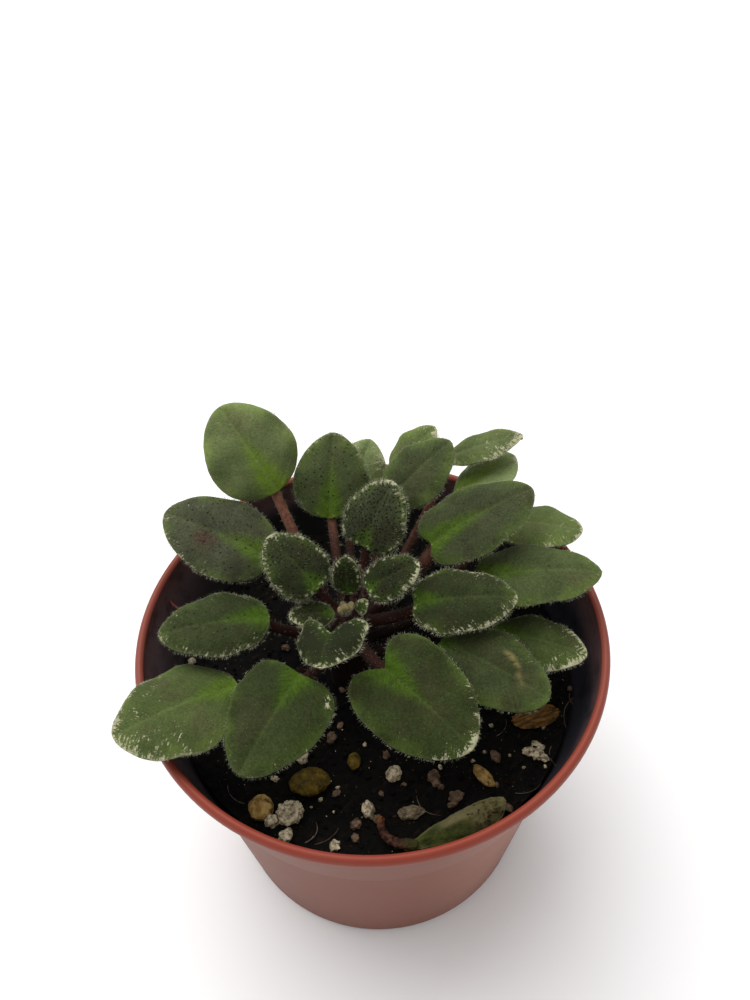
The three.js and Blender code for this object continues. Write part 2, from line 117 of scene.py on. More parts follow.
LEAVES = {
    "leaf_back_left": leaf(
        (-15.2, 21.7, 12.2), (-24.3, 29.6, 25.4), 16.4, 24, 0, 0.8, 0.5, -4, 2.1,
        0.92, 0.3, 0.8, (0.1, 0, 0.2, 0.02), 0.15, 0.04, 0.3),
    "leaf_back": leaf(
        (-6.5, 19.6, 6.8), (-5, 31, 17), 14, -5, 0.05, 0.8, 0.57, -3, 1.9,
        0.57, 0.3, 0.75, (0.3, 0.15, 0.15, 0.02), 0.4, 0.15, 0.9),
    "leaf_back_low": leaf(
        (-3.5, 25.5, 3), (1.6, 34.5, 11.5), 11, -20, 0, 0.9, 0.6, -6, 1.7,
        1.1, 0.2, 0.2, (0.1, 0.95, 0, 0.4), 0.3, 0.04, 0.4),
    "leaf_back_inner": leaf(
        (-0.8, 7.2, 13.5), (4.7, 13.2, 22.2), 11.2, -12, 0.2, 0.8, 0.53, 3, 1.8,
        0.38, 0.6, 0.4, (0.4, 0.5, 0.35, 0.05), 0.5, 0.7, 1.3),
    "leaf_back_right": leaf(
        (4.1, 19, 11.2), (15.4, 25.7, 18.5), 11.3, -10, 0, 0.78, 0.55, -1, 2,
        0.54, 0.35, 0.3, (0, 0.35, 0, 0), 0.25, 0.08, 0.6),
    "leaf_back_right_low": leaf(
        (5, 29.3, 7.5), (13.5, 33.1, 15), 9.5, 0, 0, 0.9, 0.6, -6, 1.6,
        0.84, 0.1, 0.15, (0.15, 0.5, 0.4, 0.32), 0.3, 0.04, 0.3),
    "leaf_back_right_far": leaf(
        (13.8, 30.2, 9), (28.8, 29.4, 15.5), 7.9, 0, 0, 1.15, 0.66, -5, 1.7,
        0.8, 0.25, 0.15, (0.15, 0.6, 0.3, 0.36), 0.4, 0.04, 0.3),
    # Its high tone and broad flame are painted light: the blade lit through from behind.
    "leaf_back_right_under": leaf(
        (16.1, 24.6, 5), (27.9, 29.8, 10), 10.6, 5, 0, 1.25, 0.55, -7, 1.7,
        1.25, 0, 1.0, (0.15, 0.4, 0.5, 0.15), 0.2, 0.04, 0.3),
    "leaf_right_upper": leaf(
        (10.7, 9.2, 11), (28.4, 15.8, 16), 13.5, -6, 0.25, 0.86, 0.54, 0, 2.6,
        0.48, 0.45, 0.7, (0.1, 0.45, 0.15, 0), 0.25, 0.08, 0.6),
    "leaf_right": leaf(
        (18.5, 5.5, 6), (38.8, 3.5, 8), 13, 0, 0.15, 0.9, 0.55, -4, 2.2,
        0.6, 0.25, 0.6, (0.2, 0.15, 0.3, 0), 0.15, 0.08, 0.4),
    "leaf_right_low": leaf(
        (22.9, 19.3, 4), (37.9, 14.3, 6), 11.8, 6, 0, 0.9, 0.5, -7, 1.8,
        0.8, 0.1, 0.25, (0.1, 0.6, 0.75, 0.1), 0.3, 0.04, 0.3),
    "leaf_right_inner": leaf(
        (7, -2.2, 10), (23.5, -3, 11), 12.2, -5, 0.15, 0.85, 0.55, 2, 2.2,
        0.3, 0.15, 0.45, (0.55, 0.7, 0.25, 0.05), 0.5, 0.08, 0.9),
    "leaf_right_front_low": leaf(
        (20, -1.5, 0), (35, -8, 1), 11.3, 3, 0, 0.9, 0.5, -8, 1.9,
        0.5, 0, 0.5, (0.5, 0.75, 1.0, 0.12), 0.5, 0.05, 0.5),
    "leaf_front_right": leaf(
        (11, -7, 6), (26.9, -17.6, 4), 13.3, -8, 0.1, 0.9, 0.52, -5, 2.2,
        0.45, 0.2, 0.2, (0.35, 0, 0.05, 0), 0.05, 0.04, 0.4,
        blemishes=(
            ("scar", (10.9, 2.9), (1, 0.5)), ("scar", (12.2, 2), (0.9, 0.5)),
            ("scar", (13.5, 0.9), (0.9, 0.4)), ("scar", (14.5, -0.3), (0.8, 0.35)),
            ("fleck", (5.2, 6), (1.2, 0.9)))),
    "leaf_front": leaf(
        (1.8, -13.7, 9), (14.1, -25.8, 5), 17, -12, 0.5, 0.9, 0.57, 0, 2.2,
        0.36, 0, 0.6, (0.35, 0.1, 0.95, 0), 0.15, 0.04, 0.5),
    "leaf_front_left": leaf(
        (-11.2, -13.9, 9), (-20.4, -28, 5), 15.9, 4, 0.15, 0.68, 0.53, -1, 2.1,
        0.38, 0.05, 0.5, (0.3, 0.15, 0, 0.01), 0.1, 0.04, 0.5,
        blemishes=(("fleck", (1.8, 5.8), (1.4, 1.3)),)),
    "leaf_left_front_low": leaf(
        (-21.5, -11.9, 3.5), (-39.9, -20.5, 4.6), 17.5, -5, 0.05, 0.95, 0.52, -6, 2.1,
        0.66, 0.05, 0.5, (0.35, 0.5, 0.42, 0.42), 0.35, 0.04, 0.4),
    "leaf_left": leaf(
        (-16.5, -1.2, 7), (-34.1, -4.6, 8), 12, 5, 0, 0.82, 0.52, -3, 2,
        0.38, 0.2, 0.55, (0.8, 0.5, 0, 0.05), 0.35, 0.12, 0.7,
        blemishes=(("fleck", (2.8, 4.4), (1.5, 0.9)),)),
    "leaf_left_upper": leaf(
        (-16.5, 10.4, 7.6), (-34.8, 18.3, 11.8), 14.8, 18, 0.05, 0.85, 0.5, -5, 2.1,
        0.52, 0.85, 0.6, (0.65, 0.2, 0.25, 0.04), 0.3, 0.15, 0.7,
        blemishes=(("scab", (11.8, 1.8), (2.5, 1.6)),)),
    "leaf_left_inner": leaf(
        (-8.2, 0, 12), (-16, 7.2, 17), 10.1, 12, 0.15, 0.85, 0.53, 3.5, 1.8,
        0.23, 0.3, 0.4, (0.45, 0.45, 0.5, 0.08), 0.5, 0.3, 1.5),
    "leaf_young_back": leaf(
        (-3.7, 0.6, 9), (-3.5, 2.6, 16.6), 5, 0, 0, 0.9, 0.5, 4, 1.3,
        0.12, 0, 0.5, (0.4, 0.4, 0.4, 0.05), 0.8, 0.3, 1.8),
    "leaf_young_right": leaf(
        (-0.5, -0.6, 12), (8.1, 1.9, 15), 7.6, -12, 0.1, 0.85, 0.5, 4.5, 1.5,
        0.12, 0.2, 0.35, (0.4, 0.6, 0.6, 0.06), 0.6, 0.4, 1.6),
    "leaf_young_left": leaf(
        (-5.8, -1.9, 8), (-13.1, -3.6, 9.6), 5.4, 5, 0, 0.9, 0.55, 5, 1.3,
        0.1, 0.1, 0.4, (0.7, 0.5, 0.55, 0.12), 0.8, 0.3, 1.8),
    "leaf_young_front": leaf(
        (-6.4, -9.5, 13.2), (-8, -15.1, 12.2), 12.8, -24, 1.1, 0.8, 0.58, 4, 1.5,
        0.1, 0.3, 0.08, (0.75, 0.4, 0.4, 0.03), 0.9, 0.04, 1.4),
}

# The withered leaf against the front wall, folded along its midrib and narrower in its back half. Its stub,
# with the thickness of both ends. The smallest leaf, beside the growing tip.
OLD_LEAF = leaf(
    (3.3, -33.3, -11.6), (19.7, -27.2, -9.1), 6, -8, 0, 1.8, 0.4, 0, 0,
    0.6, 0, 0, (0, 0, 0, 0), 0, 0.4, 0.3, fold=0.6, back_half=0.6)
OLD_STUB = {
    "points": ((5.6, -32.7, -11.6), (1.1, -31.5, -11.8), (0, -27.8, -12)), "thickness": (1.872, 1.092)}
TINY_LEAF = leaf(
    (-2.2, -2.3, 8.3), (-0.5, -1.5, 10.4), 2.7, -10, 0.2, 0.8, 0.5, 0, 0,
    0.2, 0.1, 0.1, (0.2, 0.7, 0.3, 0.05), 0.7, 0, 1.4)

# Loose grains: finish, place on the soil, size along, across and high, turn in degrees, and lumpiness
GRAINS = {
    "perlite_large": ("perlite", (-14.6, -26), (4, 3.8, 3.4), 20, 0.26),
    "perlite_middle": ("perlite", (2.5, -20.3), (2.8, 2.5, 2.3), 50, 0.16),
    "perlite_small": ("perlite", (-12.7, -16), (1.9, 2.6, 1.8), 0, 0.14),
    "perlite_long": ("perlite", (4.9, -26.7), (4.2, 2.2, 2), 10, 0.2),
    "perlite_flake": ("perlite", (26.6, -17.3), (4, 3.6, 1.5), -40, 0.3),
    "pebble_round": ("yellow_pebble", (-19.2, -25), (4, 4.4, 3.2), 10, 0.05),
    "pebble_flat": ("ochre_pebble", (-11.4, -20.6), (6.6, 4.8, 2.6), 5, 0.08),
    "pebble_little": ("ochre_pebble", (-4, -17.3), (2.2, 3, 1.8), 0, 0.05),
    "pebble_long": ("yellow_pebble", (17.2, -21.3), (2.2, 4.6, 2), 35, 0.07),
    "bark_chip": ("bark", (27.6, -10.8), (8.2, 4, 1.7), 15, 0.16),
}
GRAIN_SUNK = 0.35
GRAIN_ROUGHNESS = 0.08

# Smaller bits between them, each with its place on the soil and its size. Then the fibres on the soil and
# the dead stalk against the wall, each with its two ends, their height above the soil, and its thickness.
PALE_BITS = (
    (-17.5, -27.1, 2.4), (-15.2, -29.6, 2.6), (-17.2, -19.7, 1.4), (-9.7, -23.5, 0.8), (-6.8, -21.7, 0.8),
    (-2.1, -14.2, 0.8), (-7.4, -31.8, 1.8), (-2, -26.1, 2.7), (-33, 4.2, 1.4), (10.3, -18.9, 1),
    (19.7, -11.9, 0.8), (15.8, -18.4, 0.8), (-16.6, -31, 1.2), (18, -16.7, 0.6), (22.1, -17.6, 0.6),
    (24.1, -19.9, 0.6), (27.7, -19.9, 0.7), (28.6, -12.8, 0.7), (-7.5, -25.8, 0.6), (-11.2, -24.6, 0.5),
)
TAN_BITS = (
    (9, -20.5, 2.3), (-7.1, -22.8, 1.4), (-7.7, -13, 2.1), (12.4, -24.3, 2.3), (11.7, -25.8, 1.8),
    (10.1, -22.5, 1.1), (19.7, -17.9, 2.1), (34.4, -5.5, 1), (9.3, -21.6, 1.6), (-4, -28.2, 2),
    (-4.2, -30.4, 1.5), (1.4, -16.6, 1.5), (0.3, -23.3, 1), (4.1, -22, 0.9), (19.2, -23, 0.9),
    (-6.2, -10.6, 1.3), (20.6, -26.8, 1.6), (-0.6, -27.6, 1.4), (-5.6, -3.3, 1.4), (-15.9, 6, 1.5),
)
FIBRES = (
    ((34.2, -6.6, 0.6), (34.1, -9.4, 1), 0.14), ((34.4, -8.2, 1.4), (32.4, -13.4, 0), 0.13),
    ((29.4, -16.2, 0), (29.6, -20, 0), 0.15), ((20.4, -13.8, 0), (22.4, -10.7, 0), 0.13),
    ((-12.1, -31, 0.2), (-10.4, -27.4, 0.1), 0.22), ((-10.6, -31.2, 0), (-6.8, -28.6, 0), 0.14),
    ((-25, -20.4, 0), (-22, -24, 0), 0.12), ((6, -24, 0), (9.6, -27.5, 0), 0.14),
    ((22, -24.5, 0), (26.5, -22.8, 0), 0.12),
)
WALL_STALK = ((-36.4, 12, 9), (-30.6, 9.3, 7.4), 0.62)

# How many small bits are strewn, and the seeds of the random draws
BROWN_CRUMBS = 220
PERLITE_SPECKS = 320
BUD_HAIRS = 150
CRUMB_SEED = 11
HAIR_SEED = 100
BUD_SEED = 7

# Where the soft light hangs and how wide it is, in metres, and how far the floor lies under the pot
LIGHT_PLACE = (-0.2, 0.25, 0.85)
LIGHT_SIZE = 0.9
FLOOR_GAP = 0.0002

# Where the camera stands, in millimetres above the pot's base, and how it is turned, in degrees
CAMERA_PLACE = (0, -93.1, 193.3)
CAMERA_YAW = -0.88
CAMERA_DOWN = 47.34
CAMERA_ROLL = -2.19
CAMERA_LENS = 34.2
CAMERA_LONG_SIDE = 36


def srgb(*screen):
    """A colour given as it looks on screen, from 0 to 255, as the linear colour that Blender takes."""
    shares = [value / 255 for value in screen]
    return tuple(x / 12.92 if x <= 0.04045 else ((x + 0.055) / 1.055) ** 2.4 for x in shares)


def colour_setting(name, description, *screen):
    """A setting for a colour, given as it looks on screen."""
    return FloatVectorProperty(name=name, description=description, subtype="COLOR", default=srgb(*screen))


class PotSettings(bpy.types.PropertyGroup):
    """The nursery pot."""

    sides: IntProperty(name="Sides", description="Facets round the pot", default=192, min=24)
    plastic: colour_setting("Plastic", "Colour of the moulded plastic", 133, 56, 41)
    faded: colour_setting("Faded wall", "Colour of the outer wall, dulled by handling", 117, 70, 57)
    stained: colour_setting("Stained inside", "Colour of the inner wall, darkened by wet soil", 96, 78, 80)


class SoilSettings(bpy.types.PropertyGroup):
    """The peat mix in the pot and what lies on it."""

    cells: IntProperty(name="Cells", description="Cells across the soil's surface", default=190, min=20)
    lump_height: FloatProperty(
        name="Lump height", description="How far lumps stand up, in millimetres", default=0.75, min=0)
    crumbs: IntProperty(
        name="Crumbs", description="Loose crumbs of peat on the surface", default=800, min=0)
    peat: colour_setting("Peat", "Colour of the damp peat", 18, 16, 12)
    perlite: colour_setting("Perlite", "Colour of the perlite grains", 202, 188, 158)


class PlantSettings(bpy.types.PropertyGroup):
    """Stalks, blades and hairs."""

    stations: IntProperty(
        name="Stations", description="Cells along a blade before smoothing", default=30, min=8)
    columns: IntProperty(
        name="Columns", description="Cells across a blade before smoothing", default=18, min=4)
    thickness: FloatProperty(
        name="Thickness", description="Thickness at the midrib, in millimetres", default=1.2, min=0.3)
    hair_radius: FloatProperty(
        name="Hair radius", description="Radius at a hair's root, in millimetres", default=0.023, min=0.005)
    hair_length: FloatProperty(
        name="Hair length", description="Length of the longest hairs, in millimetres", default=0.85, min=0.1)
    dark: colour_setting("Dark green", "Darkest green of the blades", 27, 33, 10)
    light: colour_setting("Light green", "Lightest green of the blades", 94, 110, 58)
    flame: colour_setting("Flame", "Bright green along the midrib", 54, 82, 6)
    cream: colour_setting("Cream", "Colour of the flecks at the margins", 184, 180, 150)
    stalk: colour_setting("Stalk", "Colour of the stalks", 88, 54, 41)


class StageSettings(bpy.types.PropertyGroup):
    """Floor, light and camera."""

    floor: FloatVectorProperty(
        name="Floor", description="Colour of the floor", subtype="COLOR", default=(0.94, 0.94, 0.94))
    sky: FloatProperty(
        name="Surrounding light", description="Strength of the light from all round", default=0.6, min=0)
    key: FloatProperty(
        name="Key light", description="Power of the soft light above", subtype="POWER", default=9.0, min=0)


# Surfaces


class Value:
    """A number in a material. Python's operators on it add Math nodes."""

    def __init__(self, finish, socket):
        self.finish = finish
        self.socket = socket

    def maths(self, operation, *inputs):
        """A Math node of this operation on the inputs."""
        return self.finish.add("ShaderNodeMath", {"operation": operation}, dict(enumerate(inputs)))

    def __add__(self, other):
        return self.maths("ADD", self, other)

    __radd__ = __add__

    def __sub__(self, other):
        return self.maths("SUBTRACT", self, other)

    def __mul__(self, other):
        return self.maths("MULTIPLY", self, other)

    def __pow__(self, other):
        return self.maths("POWER", self, other)

    def __abs__(self):
        return self.maths("ABSOLUTE", self)

    def most(self, other):
        """The larger of the two."""
        return self.maths("MAXIMUM", self, other)

    def fade(self, low, high):
        """0 below low, 1 above high and smooth between them; the other way round where high is lower."""
        ends = {"From Min": low, "From Max": high}
        if low > high:
            ends = {"From Min": high, "From Max": low, "To Min": 1, "To Max": 0}
        smooth_step = {"interpolation_type": "SMOOTHSTEP"}
        return self.finish.add("ShaderNodeMapRange", smooth_step, {"Value": self, **ends})


class Finish:
    """A material being made: its nodes are added and linked through here."""

    def __init__(self, name, specular, **constants):
        self.material = bpy.data.materials.new(name)
        self.material.use_nodes = True
        self.tree = self.material.node_tree
        self.shader = self.tree.nodes["Principled BSDF"].inputs
        self.shader["Specular IOR Level"].default_value = specular
        for socket, value in constants.items():
            self.shader[socket.replace("_", " ")].default_value = value
        metres = self.add("ShaderNodeTexCoord", output=3)
        self.place = self.add("ShaderNodeVectorMath", {"operation": "SCALE"}, {0: metres, "Scale": 1 / MM})

    def put(self, socket, value):
        """Links a socket to a Value, or sets it to a number, vector or colour. A colour written as a tuple
        is as it looks on screen, and a setting's colour is linear already."""
        if isinstance(value, Value):
            self.tree.links.new(value.socket, socket)
        elif socket.type == "RGBA":
            socket.default_value = (*(srgb(*value) if isinstance(value, tuple) else value), 1)
        else:
            socket.default_value = value

    def add(self, kind, settings=None, inputs=None, output=0):
        """Adds a node with these settings and inputs, and gives one of its outputs."""
        node = self.tree.nodes.new(kind)
        for name, value in (settings or {}).items():
            setattr(node, name, value)
        for key, value in (inputs or {}).items():
            self.put(node.inputs[key], value)
        return Value(self, node.outputs[output])

    def split(self, vector):
        """The three numbers of a vector."""
        node = self.add("ShaderNodeSeparateXYZ", None, {0: vector}).socket.node
        return [Value(self, socket) for socket in node.outputs]

    def from_crown(self):
        """Millimetres from the upright axis through the crown."""
        x, y, _ = self.split(self.place)
        x, y = x - CROWN["x"], y - CROWN["y"]
        return (x * x + y * y) ** 0.5

    def attribute(self, name):
        """A vector kept at the piece's points."""
        return self.add("ShaderNodeAttribute", {"attribute_name": name}, None, 1)

    def stretched(self, scale, turn=0):
        """The place on the piece, turned about the upright axis and then scaled along each axis."""
        inputs = {"Vector": self.place, "Rotation": (0, 0, turn), "Scale": scale}
        return self.add("ShaderNodeMapping", {"vector_type": "TEXTURE"}, inputs)

    def noise(self, grain, detail=3, roughness=0.5, place=None):
        """Cloudy noise about 0.5, with features of this many millimetres."""
        inputs = {"Vector": place or self.place, "Scale": 1 / grain}
        return self.add("ShaderNodeTexNoise", None, {**inputs, "Detail": detail, "Roughness": roughness})

    def cells(self, size, output=0, place=None):
        """Distance to the nearest of many points this far apart (0), or that point's colour (1). On a given
        place they lie flat."""
        settings = {"voronoi_dimensions": "2D"} if place else None
        inputs = {"Vector": place or self.place, "Scale": 1 / size}
        return self.add("ShaderNodeTexVoronoi", settings, inputs, output)

    def mix(self, share, first, second):
        """A colour between two."""
        return self.add("ShaderNodeMix", {"data_type": "RGBA"}, {0: share, 6: first, 7: second}, 2)

    def layers(self, colour, *coats):
        """A colour with others laid over it in turn, each given with its share."""
        for share, coat in coats:
            colour = self.mix(share, colour, coat)
        return colour

    def done(self, colour, roughness=0.5, height=None, distance=0, strength=1.0):
        """Links up the colour, the roughness and a relief this deep in millimetres. Gives the material."""
        self.put(self.shader["Base Color"], colour)
        self.put(self.shader["Roughness"], roughness)
        if height:
            inputs = {"Height": height, "Distance": distance * MM, "Strength": strength}
            self.put(self.shader["Normal"], self.add("ShaderNodeBump", None, inputs))
        return self.material


def pot_plastic(settings):
    """Terracotta-red moulded plastic, dulled outside, with a painted highlight on the front right of its
    wall and painted shade in the crease under its lip. Stained inside, with painted shade darkening the
    inner wall towards the soil at its left, right and back.
    """
    finish = Finish("pot_plastic", 0.16)
    across, toward, height = finish.split(finish.place)
    inside, crease_shade, _ = finish.split(finish.attribute("parts"))
    lip = height.fade(POT_HEIGHT - LIP_DEPTH - 1.2, POT_HEIGHT - LIP_DEPTH + 0.2)
    smudges = finish.noise(9, 5, 0.65)
    dust = finish.noise(1.4, 4, 0.7)
    # The outer wall grows paler down towards the collar's foot.
    paler_downwards = height.fade(POT_HEIGHT - 4, POT_HEIGHT - COLLAR_HEIGHT) * 0.25
    # Painted highlight: a paler patch on the front right of the outer wall.
    painted_highlight = across.fade(4, 24) * toward.fade(-12, -28)
    worn = toward.fade(-32, -4) * 0.5 + smudges.fade(0.45, 0.7) * 0.2
    wall = finish.layers(
        settings.faded,
        (paler_downwards + smudges.fade(0.35, 0.75) * 0.3 + dust * 0.15, (130, 82, 68)),
        (painted_highlight * 0.5, (172, 124, 108)),
        (lip * 0.95, finish.mix(worn, settings.plastic, (124, 74, 64))),
        # Painted shade: a dark line in the crease under the lip.
        (crease_shade * 0.85, (78, 28, 20)))
    damp = (height + (smudges - 0.5) * 6).fade(POT_HEIGHT - 1, POT_HEIGHT - 7)
    # Painted shade: the inner wall darker towards the soil on the left, on the right and at the back.
    left = height.fade(POT_HEIGHT - 5, POT_HEIGHT - 12) * across.fade(-6, -22)
    right = across.fade(8, 34) * (height + (smudges - 0.5) * 8).fade(POT_HEIGHT - 2, POT_HEIGHT - 9)
    back = toward.fade(12, 28) * height.fade(POT_HEIGHT - 3, POT_HEIGHT - 8)
    blotches = finish.noise(3.5, 5, 0.6).fade(0.45, 0.75) * 0.6
    specks = finish.cells(1.1).fade(0.2, 0.1) * height.fade(POT_HEIGHT - 5, POT_HEIGHT - 13)
    # The inside: damp stain and dirt specks, with the painted shade laid in among them.
    stain = finish.layers(
        (104, 74, 72),
        (damp, settings.stained),
        (left * 0.7, (24, 24, 28)),
        (right * 0.9, (26, 33, 42)),
        # Dark stain blotches, with painted shade at the back of the inner wall.
        (blotches.most(back * 0.96), (20, 22, 21)),
        (specks * dust.fade(0.45, 0.6), (14, 11, 10)))
    return finish.done(
        finish.mix(inside, wall, stain), 0.42 + smudges * 0.14 - lip * 0.08 + inside * 0.14,
        dust * 0.5 + finish.noise(0.35, 2) * 0.3, 0.05, 0.6)


def peat(settings):
    """Damp, nearly black peat with brown fibres and fine pale specks, with painted shade making it darkest
    under the plant, near the crown.
    """
    finish = Finish("peat", 0.1)
    lumps = finish.noise(1.3, 6, 0.7)
    brown = finish.noise(0.9, 4, 0.6, finish.stretched((4, 1, 1), 0.7)).fade(0.55, 0.75)
    speck = finish.cells(0.5).fade(0.2, 0.1) * finish.split(finish.cells(0.5, 1))[0].fade(0.9, 0.96)
    colour = finish.layers(
        (6, 5, 5),
        (lumps.fade(0.35, 0.7), settings.peat),
        (brown * 0.5, (46, 32, 22)),
        (speck * 0.6, (112, 100, 80)),
        # Painted shade: the peat darkest near the crown, under the plant.
        (finish.from_crown().fade(19, 9) * 0.75, (4, 3, 3)))
    return finish.done(colour, 0.65 + lumps * 0.3, lumps + finish.noise(0.25, 3) * 0.35, 0.4)


def perlite(settings):
    """Dirty white expanded rock with dark pores."""
    finish = Finish("perlite", 0.15)
    dirt = finish.noise(0.8, 5, 0.7)
    pores = finish.cells(0.5).fade(0.26, 0.1) * finish.noise(1.1, 2).fade(0.45, 0.6)
    colour = finish.layers(
        settings.perlite, (dirt.fade(0.42, 0.64), (106, 90, 64)), (pores, (52, 42, 32)))
    return finish.done(colour, 0.85, dirt * 0.6 - pores * 0.7, 0.22)


def pebble(name, pale, deep):
    """A dull pebble of these two colours, stained with peat."""
    finish = Finish(name, 0.15)
    mottle = finish.noise(1.2, 5, 0.65)
    stain = finish.noise(1.9, 4, 0.7).fade(0.53, 0.66)
    colour = finish.layers(
        deep, (mottle.fade(0.35, 0.7), pale), (stain * 0.85, (38, 28, 16)))
    return finish.done(colour, 0.55 + mottle * 0.3, mottle, 0.12)


def bark():
    """Orange-brown fibrous bark."""
    finish = Finish("bark", 0.25)
    fibres = finish.noise(0.5, 4, 0.6, finish.stretched((5, 1, 1), 0.35))
    blotch = finish.noise(1.6, 4, 0.6).fade(0.5, 0.7)
    colour = finish.layers(
        (76, 54, 22), (fibres.fade(0.35, 0.7), (152, 108, 48)), (blotch * 0.75, (36, 26, 16)))
    return finish.done(colour, 0.8, fibres, 0.25)


def stalk_skin(settings):
    """Fleshy red-brown skin, with painted shade turning it nearly black near the crown and low down in the
    rosette.
    """
    finish = Finish("stalk_skin", 0.12, Sheen_Weight=0.02)
    streaks = finish.noise(0.6, 4, 0.6, finish.stretched((1, 1, 4)))
    cloud = finish.noise(2.4, 4, 0.6)
    height = finish.split(finish.place)[2] + (cloud - 0.5) * 5
    colour = finish.layers(
        settings.stalk,
        (streaks.fade(0.35, 0.65), (116, 78, 60)),
        (cloud.fade(0.45, 0.7) * 0.55, (62, 34, 28)),
        # Painted shade: nearly black near the crown and low down in the rosette.
        (finish.from_crown().fade(22, 12) * 0.92, (36, 11, 6)),
        (height.fade(POT_HEIGHT + 9, POT_HEIGHT - 5) * 0.85, (20, 8, 7)))
    return finish.done(colour, 0.5 + streaks * 0.2, streaks, 0.12)


def stub_skin():
    """Shrivelled pinkish-brown skin of the withered leaf's stub, orange-brown at its free end."""
    finish = Finish("stub_skin", 0.1)
    mottle = finish.noise(0.9, 5, 0.7)
    across, toward, _ = finish.split(finish.place)
    colour = finish.layers(
        (32, 18, 13),
        (mottle.fade(0.35, 0.65), (92, 60, 47)),
        (across.fade(1.8, 5) * 0.9, (58, 58, 28)),
        (toward.fade(-29.4, -28) * mottle.fade(0.4, 0.55), (128, 74, 36)))
    return finish.done(colour, 0.75, mottle + finish.noise(0.4, 3) * 0.4, 0.5)


def blade_skin(name, settings, under):
    """The variegated skin of a blade. The points keep where they are on the blade, as millimetres along it,
    across it and in from its margin, and how strong each marking is there."""
    finish = Finish(name, 0.07, Sheen_Weight=0.02, Sheen_Roughness=0.5)
    spot = finish.attribute("spot")
    along, across, inward = finish.split(spot)
    flecks, flame, tone_and_painted_light = finish.split(finish.attribute("marks"))
    pits, grey, rim = finish.split(finish.attribute("nature"))
    scab, scar, _ = finish.split(finish.attribute("blemish"))
    veined = {0: (along - abs(across) * 0.75) * 2.3, 1: across * 0.85, 2: grey * 9 + tone_and_painted_light * 4}
    broken = finish.noise(1, 4, 0.7, finish.add("ShaderNodeCombineXYZ", None, veined))
    cloud = finish.noise(4.5, 4, 0.55)
    grain = finish.noise(0.35, 3, 0.7)
    tiny = finish.noise(0.3, 3, 0.7)
    mottle = finish.noise(1.2, 5, 0.75)
    # How light a blade is follows its tone, its own green together with painted light and shade.
    level = tone_and_painted_light + (cloud - 0.5) * 0.45 + (grain - 0.5) * 0.6 + (broken - 0.5) * 0.3
    share = level.most(0) ** 2
    edge = finish.mix(share, (56, 66, 32), (124, 136, 90))
    glow = inward.fade(2.6, 0.3) * cloud.fade(0.4, 0.6) * 0.4
    burst = (flame * (1 + (mottle - 0.5) * 1.6 + (broken - 0.5) * 2)).fade(0.05, 1.2) * 0.85
    rib = abs(across).fade(0.4, 0.08) * along.fade(0.2, 1.5)
    chosen = (pits * 1.3 - finish.split(finish.cells(0.66, 1, spot))[0]).fade(-0.02, 0.2)
    dots = finish.cells(0.66, 0, spot).fade(0.3, 0.14) * chosen
    patches = finish.noise(2.2, 3).fade(0.36, 0.62)
    streak = broken * 0.75 + patches * 0.16 + (tiny - 0.5) * 0.5 + flecks * 0.27
    cream = streak.fade(0.68, 0.74) * flecks.fade(0.02, 0.1)
    beads = finish.cells(0.95, 0, spot).fade(0.4, 0.24) * inward.fade(1, 0.45) * rim.fade(0.25, 0.6)
    # Painted highlight: the pale line round the margin, on the blade's thick edge and its hairs.
    margin_highlight = rim * inward.fade(0.34, 0.06) * (0.25 + broken.fade(0.4, 0.6) * 0.6)
    margin_highlight = margin_highlight.most(beads * broken.fade(0.44, 0.54))
    cream = (cream * (0.66 + tiny * 0.4)).most(margin_highlight * 0.75)
    surface = finish.layers(
        settings.dark,
        (share, settings.light),
        (grey, finish.mix(share, (31, 33, 23), (106, 110, 86))),
        (finish.noise(6, 3).fade(0.47, 0.66) * 0.4, finish.mix(share, (36, 31, 18), (100, 96, 66))),
        (inward.fade(0.9, 0.0) * 0.35, edge),
        (glow, finish.mix(share, (50, 70, 18), (112, 132, 54))),
        # A tone past the light green paints on still more light.
        (level.fade(0.95, 1.5), (138, 152, 102)),
        (burst, finish.mix(share, settings.flame, (104, 130, 30))),
        (rib * 0.22, edge),
        (dots * 0.8, (14, 16, 10)),
        (cream, finish.mix(mottle.fade(0.4, 0.65) * 0.7, settings.cream, (140, 140, 104))),
        (scab * finish.noise(0.7, 5, 0.75).fade(0.4, 0.5),
         finish.mix(grain.fade(0.4, 0.6), (36, 25, 19), (78, 58, 46))),
        (scar * broken.fade(0.3, 0.5) * 0.8, (124, 112, 70)))
    if under:
        back = finish.mix(cloud.fade(0.3, 0.7), (66, 74, 42), (84, 80, 54))
        surface = finish.mix(0.8, surface, back)
    stipple = finish.cells(0.42).fade(0.3, 0.0)
    relief = grain * 0.5 - stipple * 0.55 - dots * 0.6 + cloud * 0.5 + cream * 0.25
    return finish.done(surface, 0.6 + grain * 0.2 - cream * 0.08, relief, 0.2, 0.9)


def hair_skin():
    """Greyish hair."""
    finish = Finish("hair", 0.4)
    return finish.done(finish.mix(finish.noise(2, 2).fade(0.3, 0.7), (158, 158, 134), (104, 108, 84)))


def bud_skin():
    """Pale, downy skin of the growing tip, yellow at its top."""
    finish = Finish("bud_skin", 0.25, Sheen_Weight=0.2)
    mottle = finish.noise(0.5, 4, 0.6)
    lowest = POT_HEIGHT + BUD["bottom"]
    top = finish.split(finish.place)[2].fade(lowest + 1.5, lowest + 2.4)
    colour = finish.layers(
        (70, 66, 44), (mottle.fade(0.35, 0.65), (128, 116, 88)), (top * 0.5, (124, 112, 50)))
    return finish.done(colour, 0.7, mottle, 0.1)


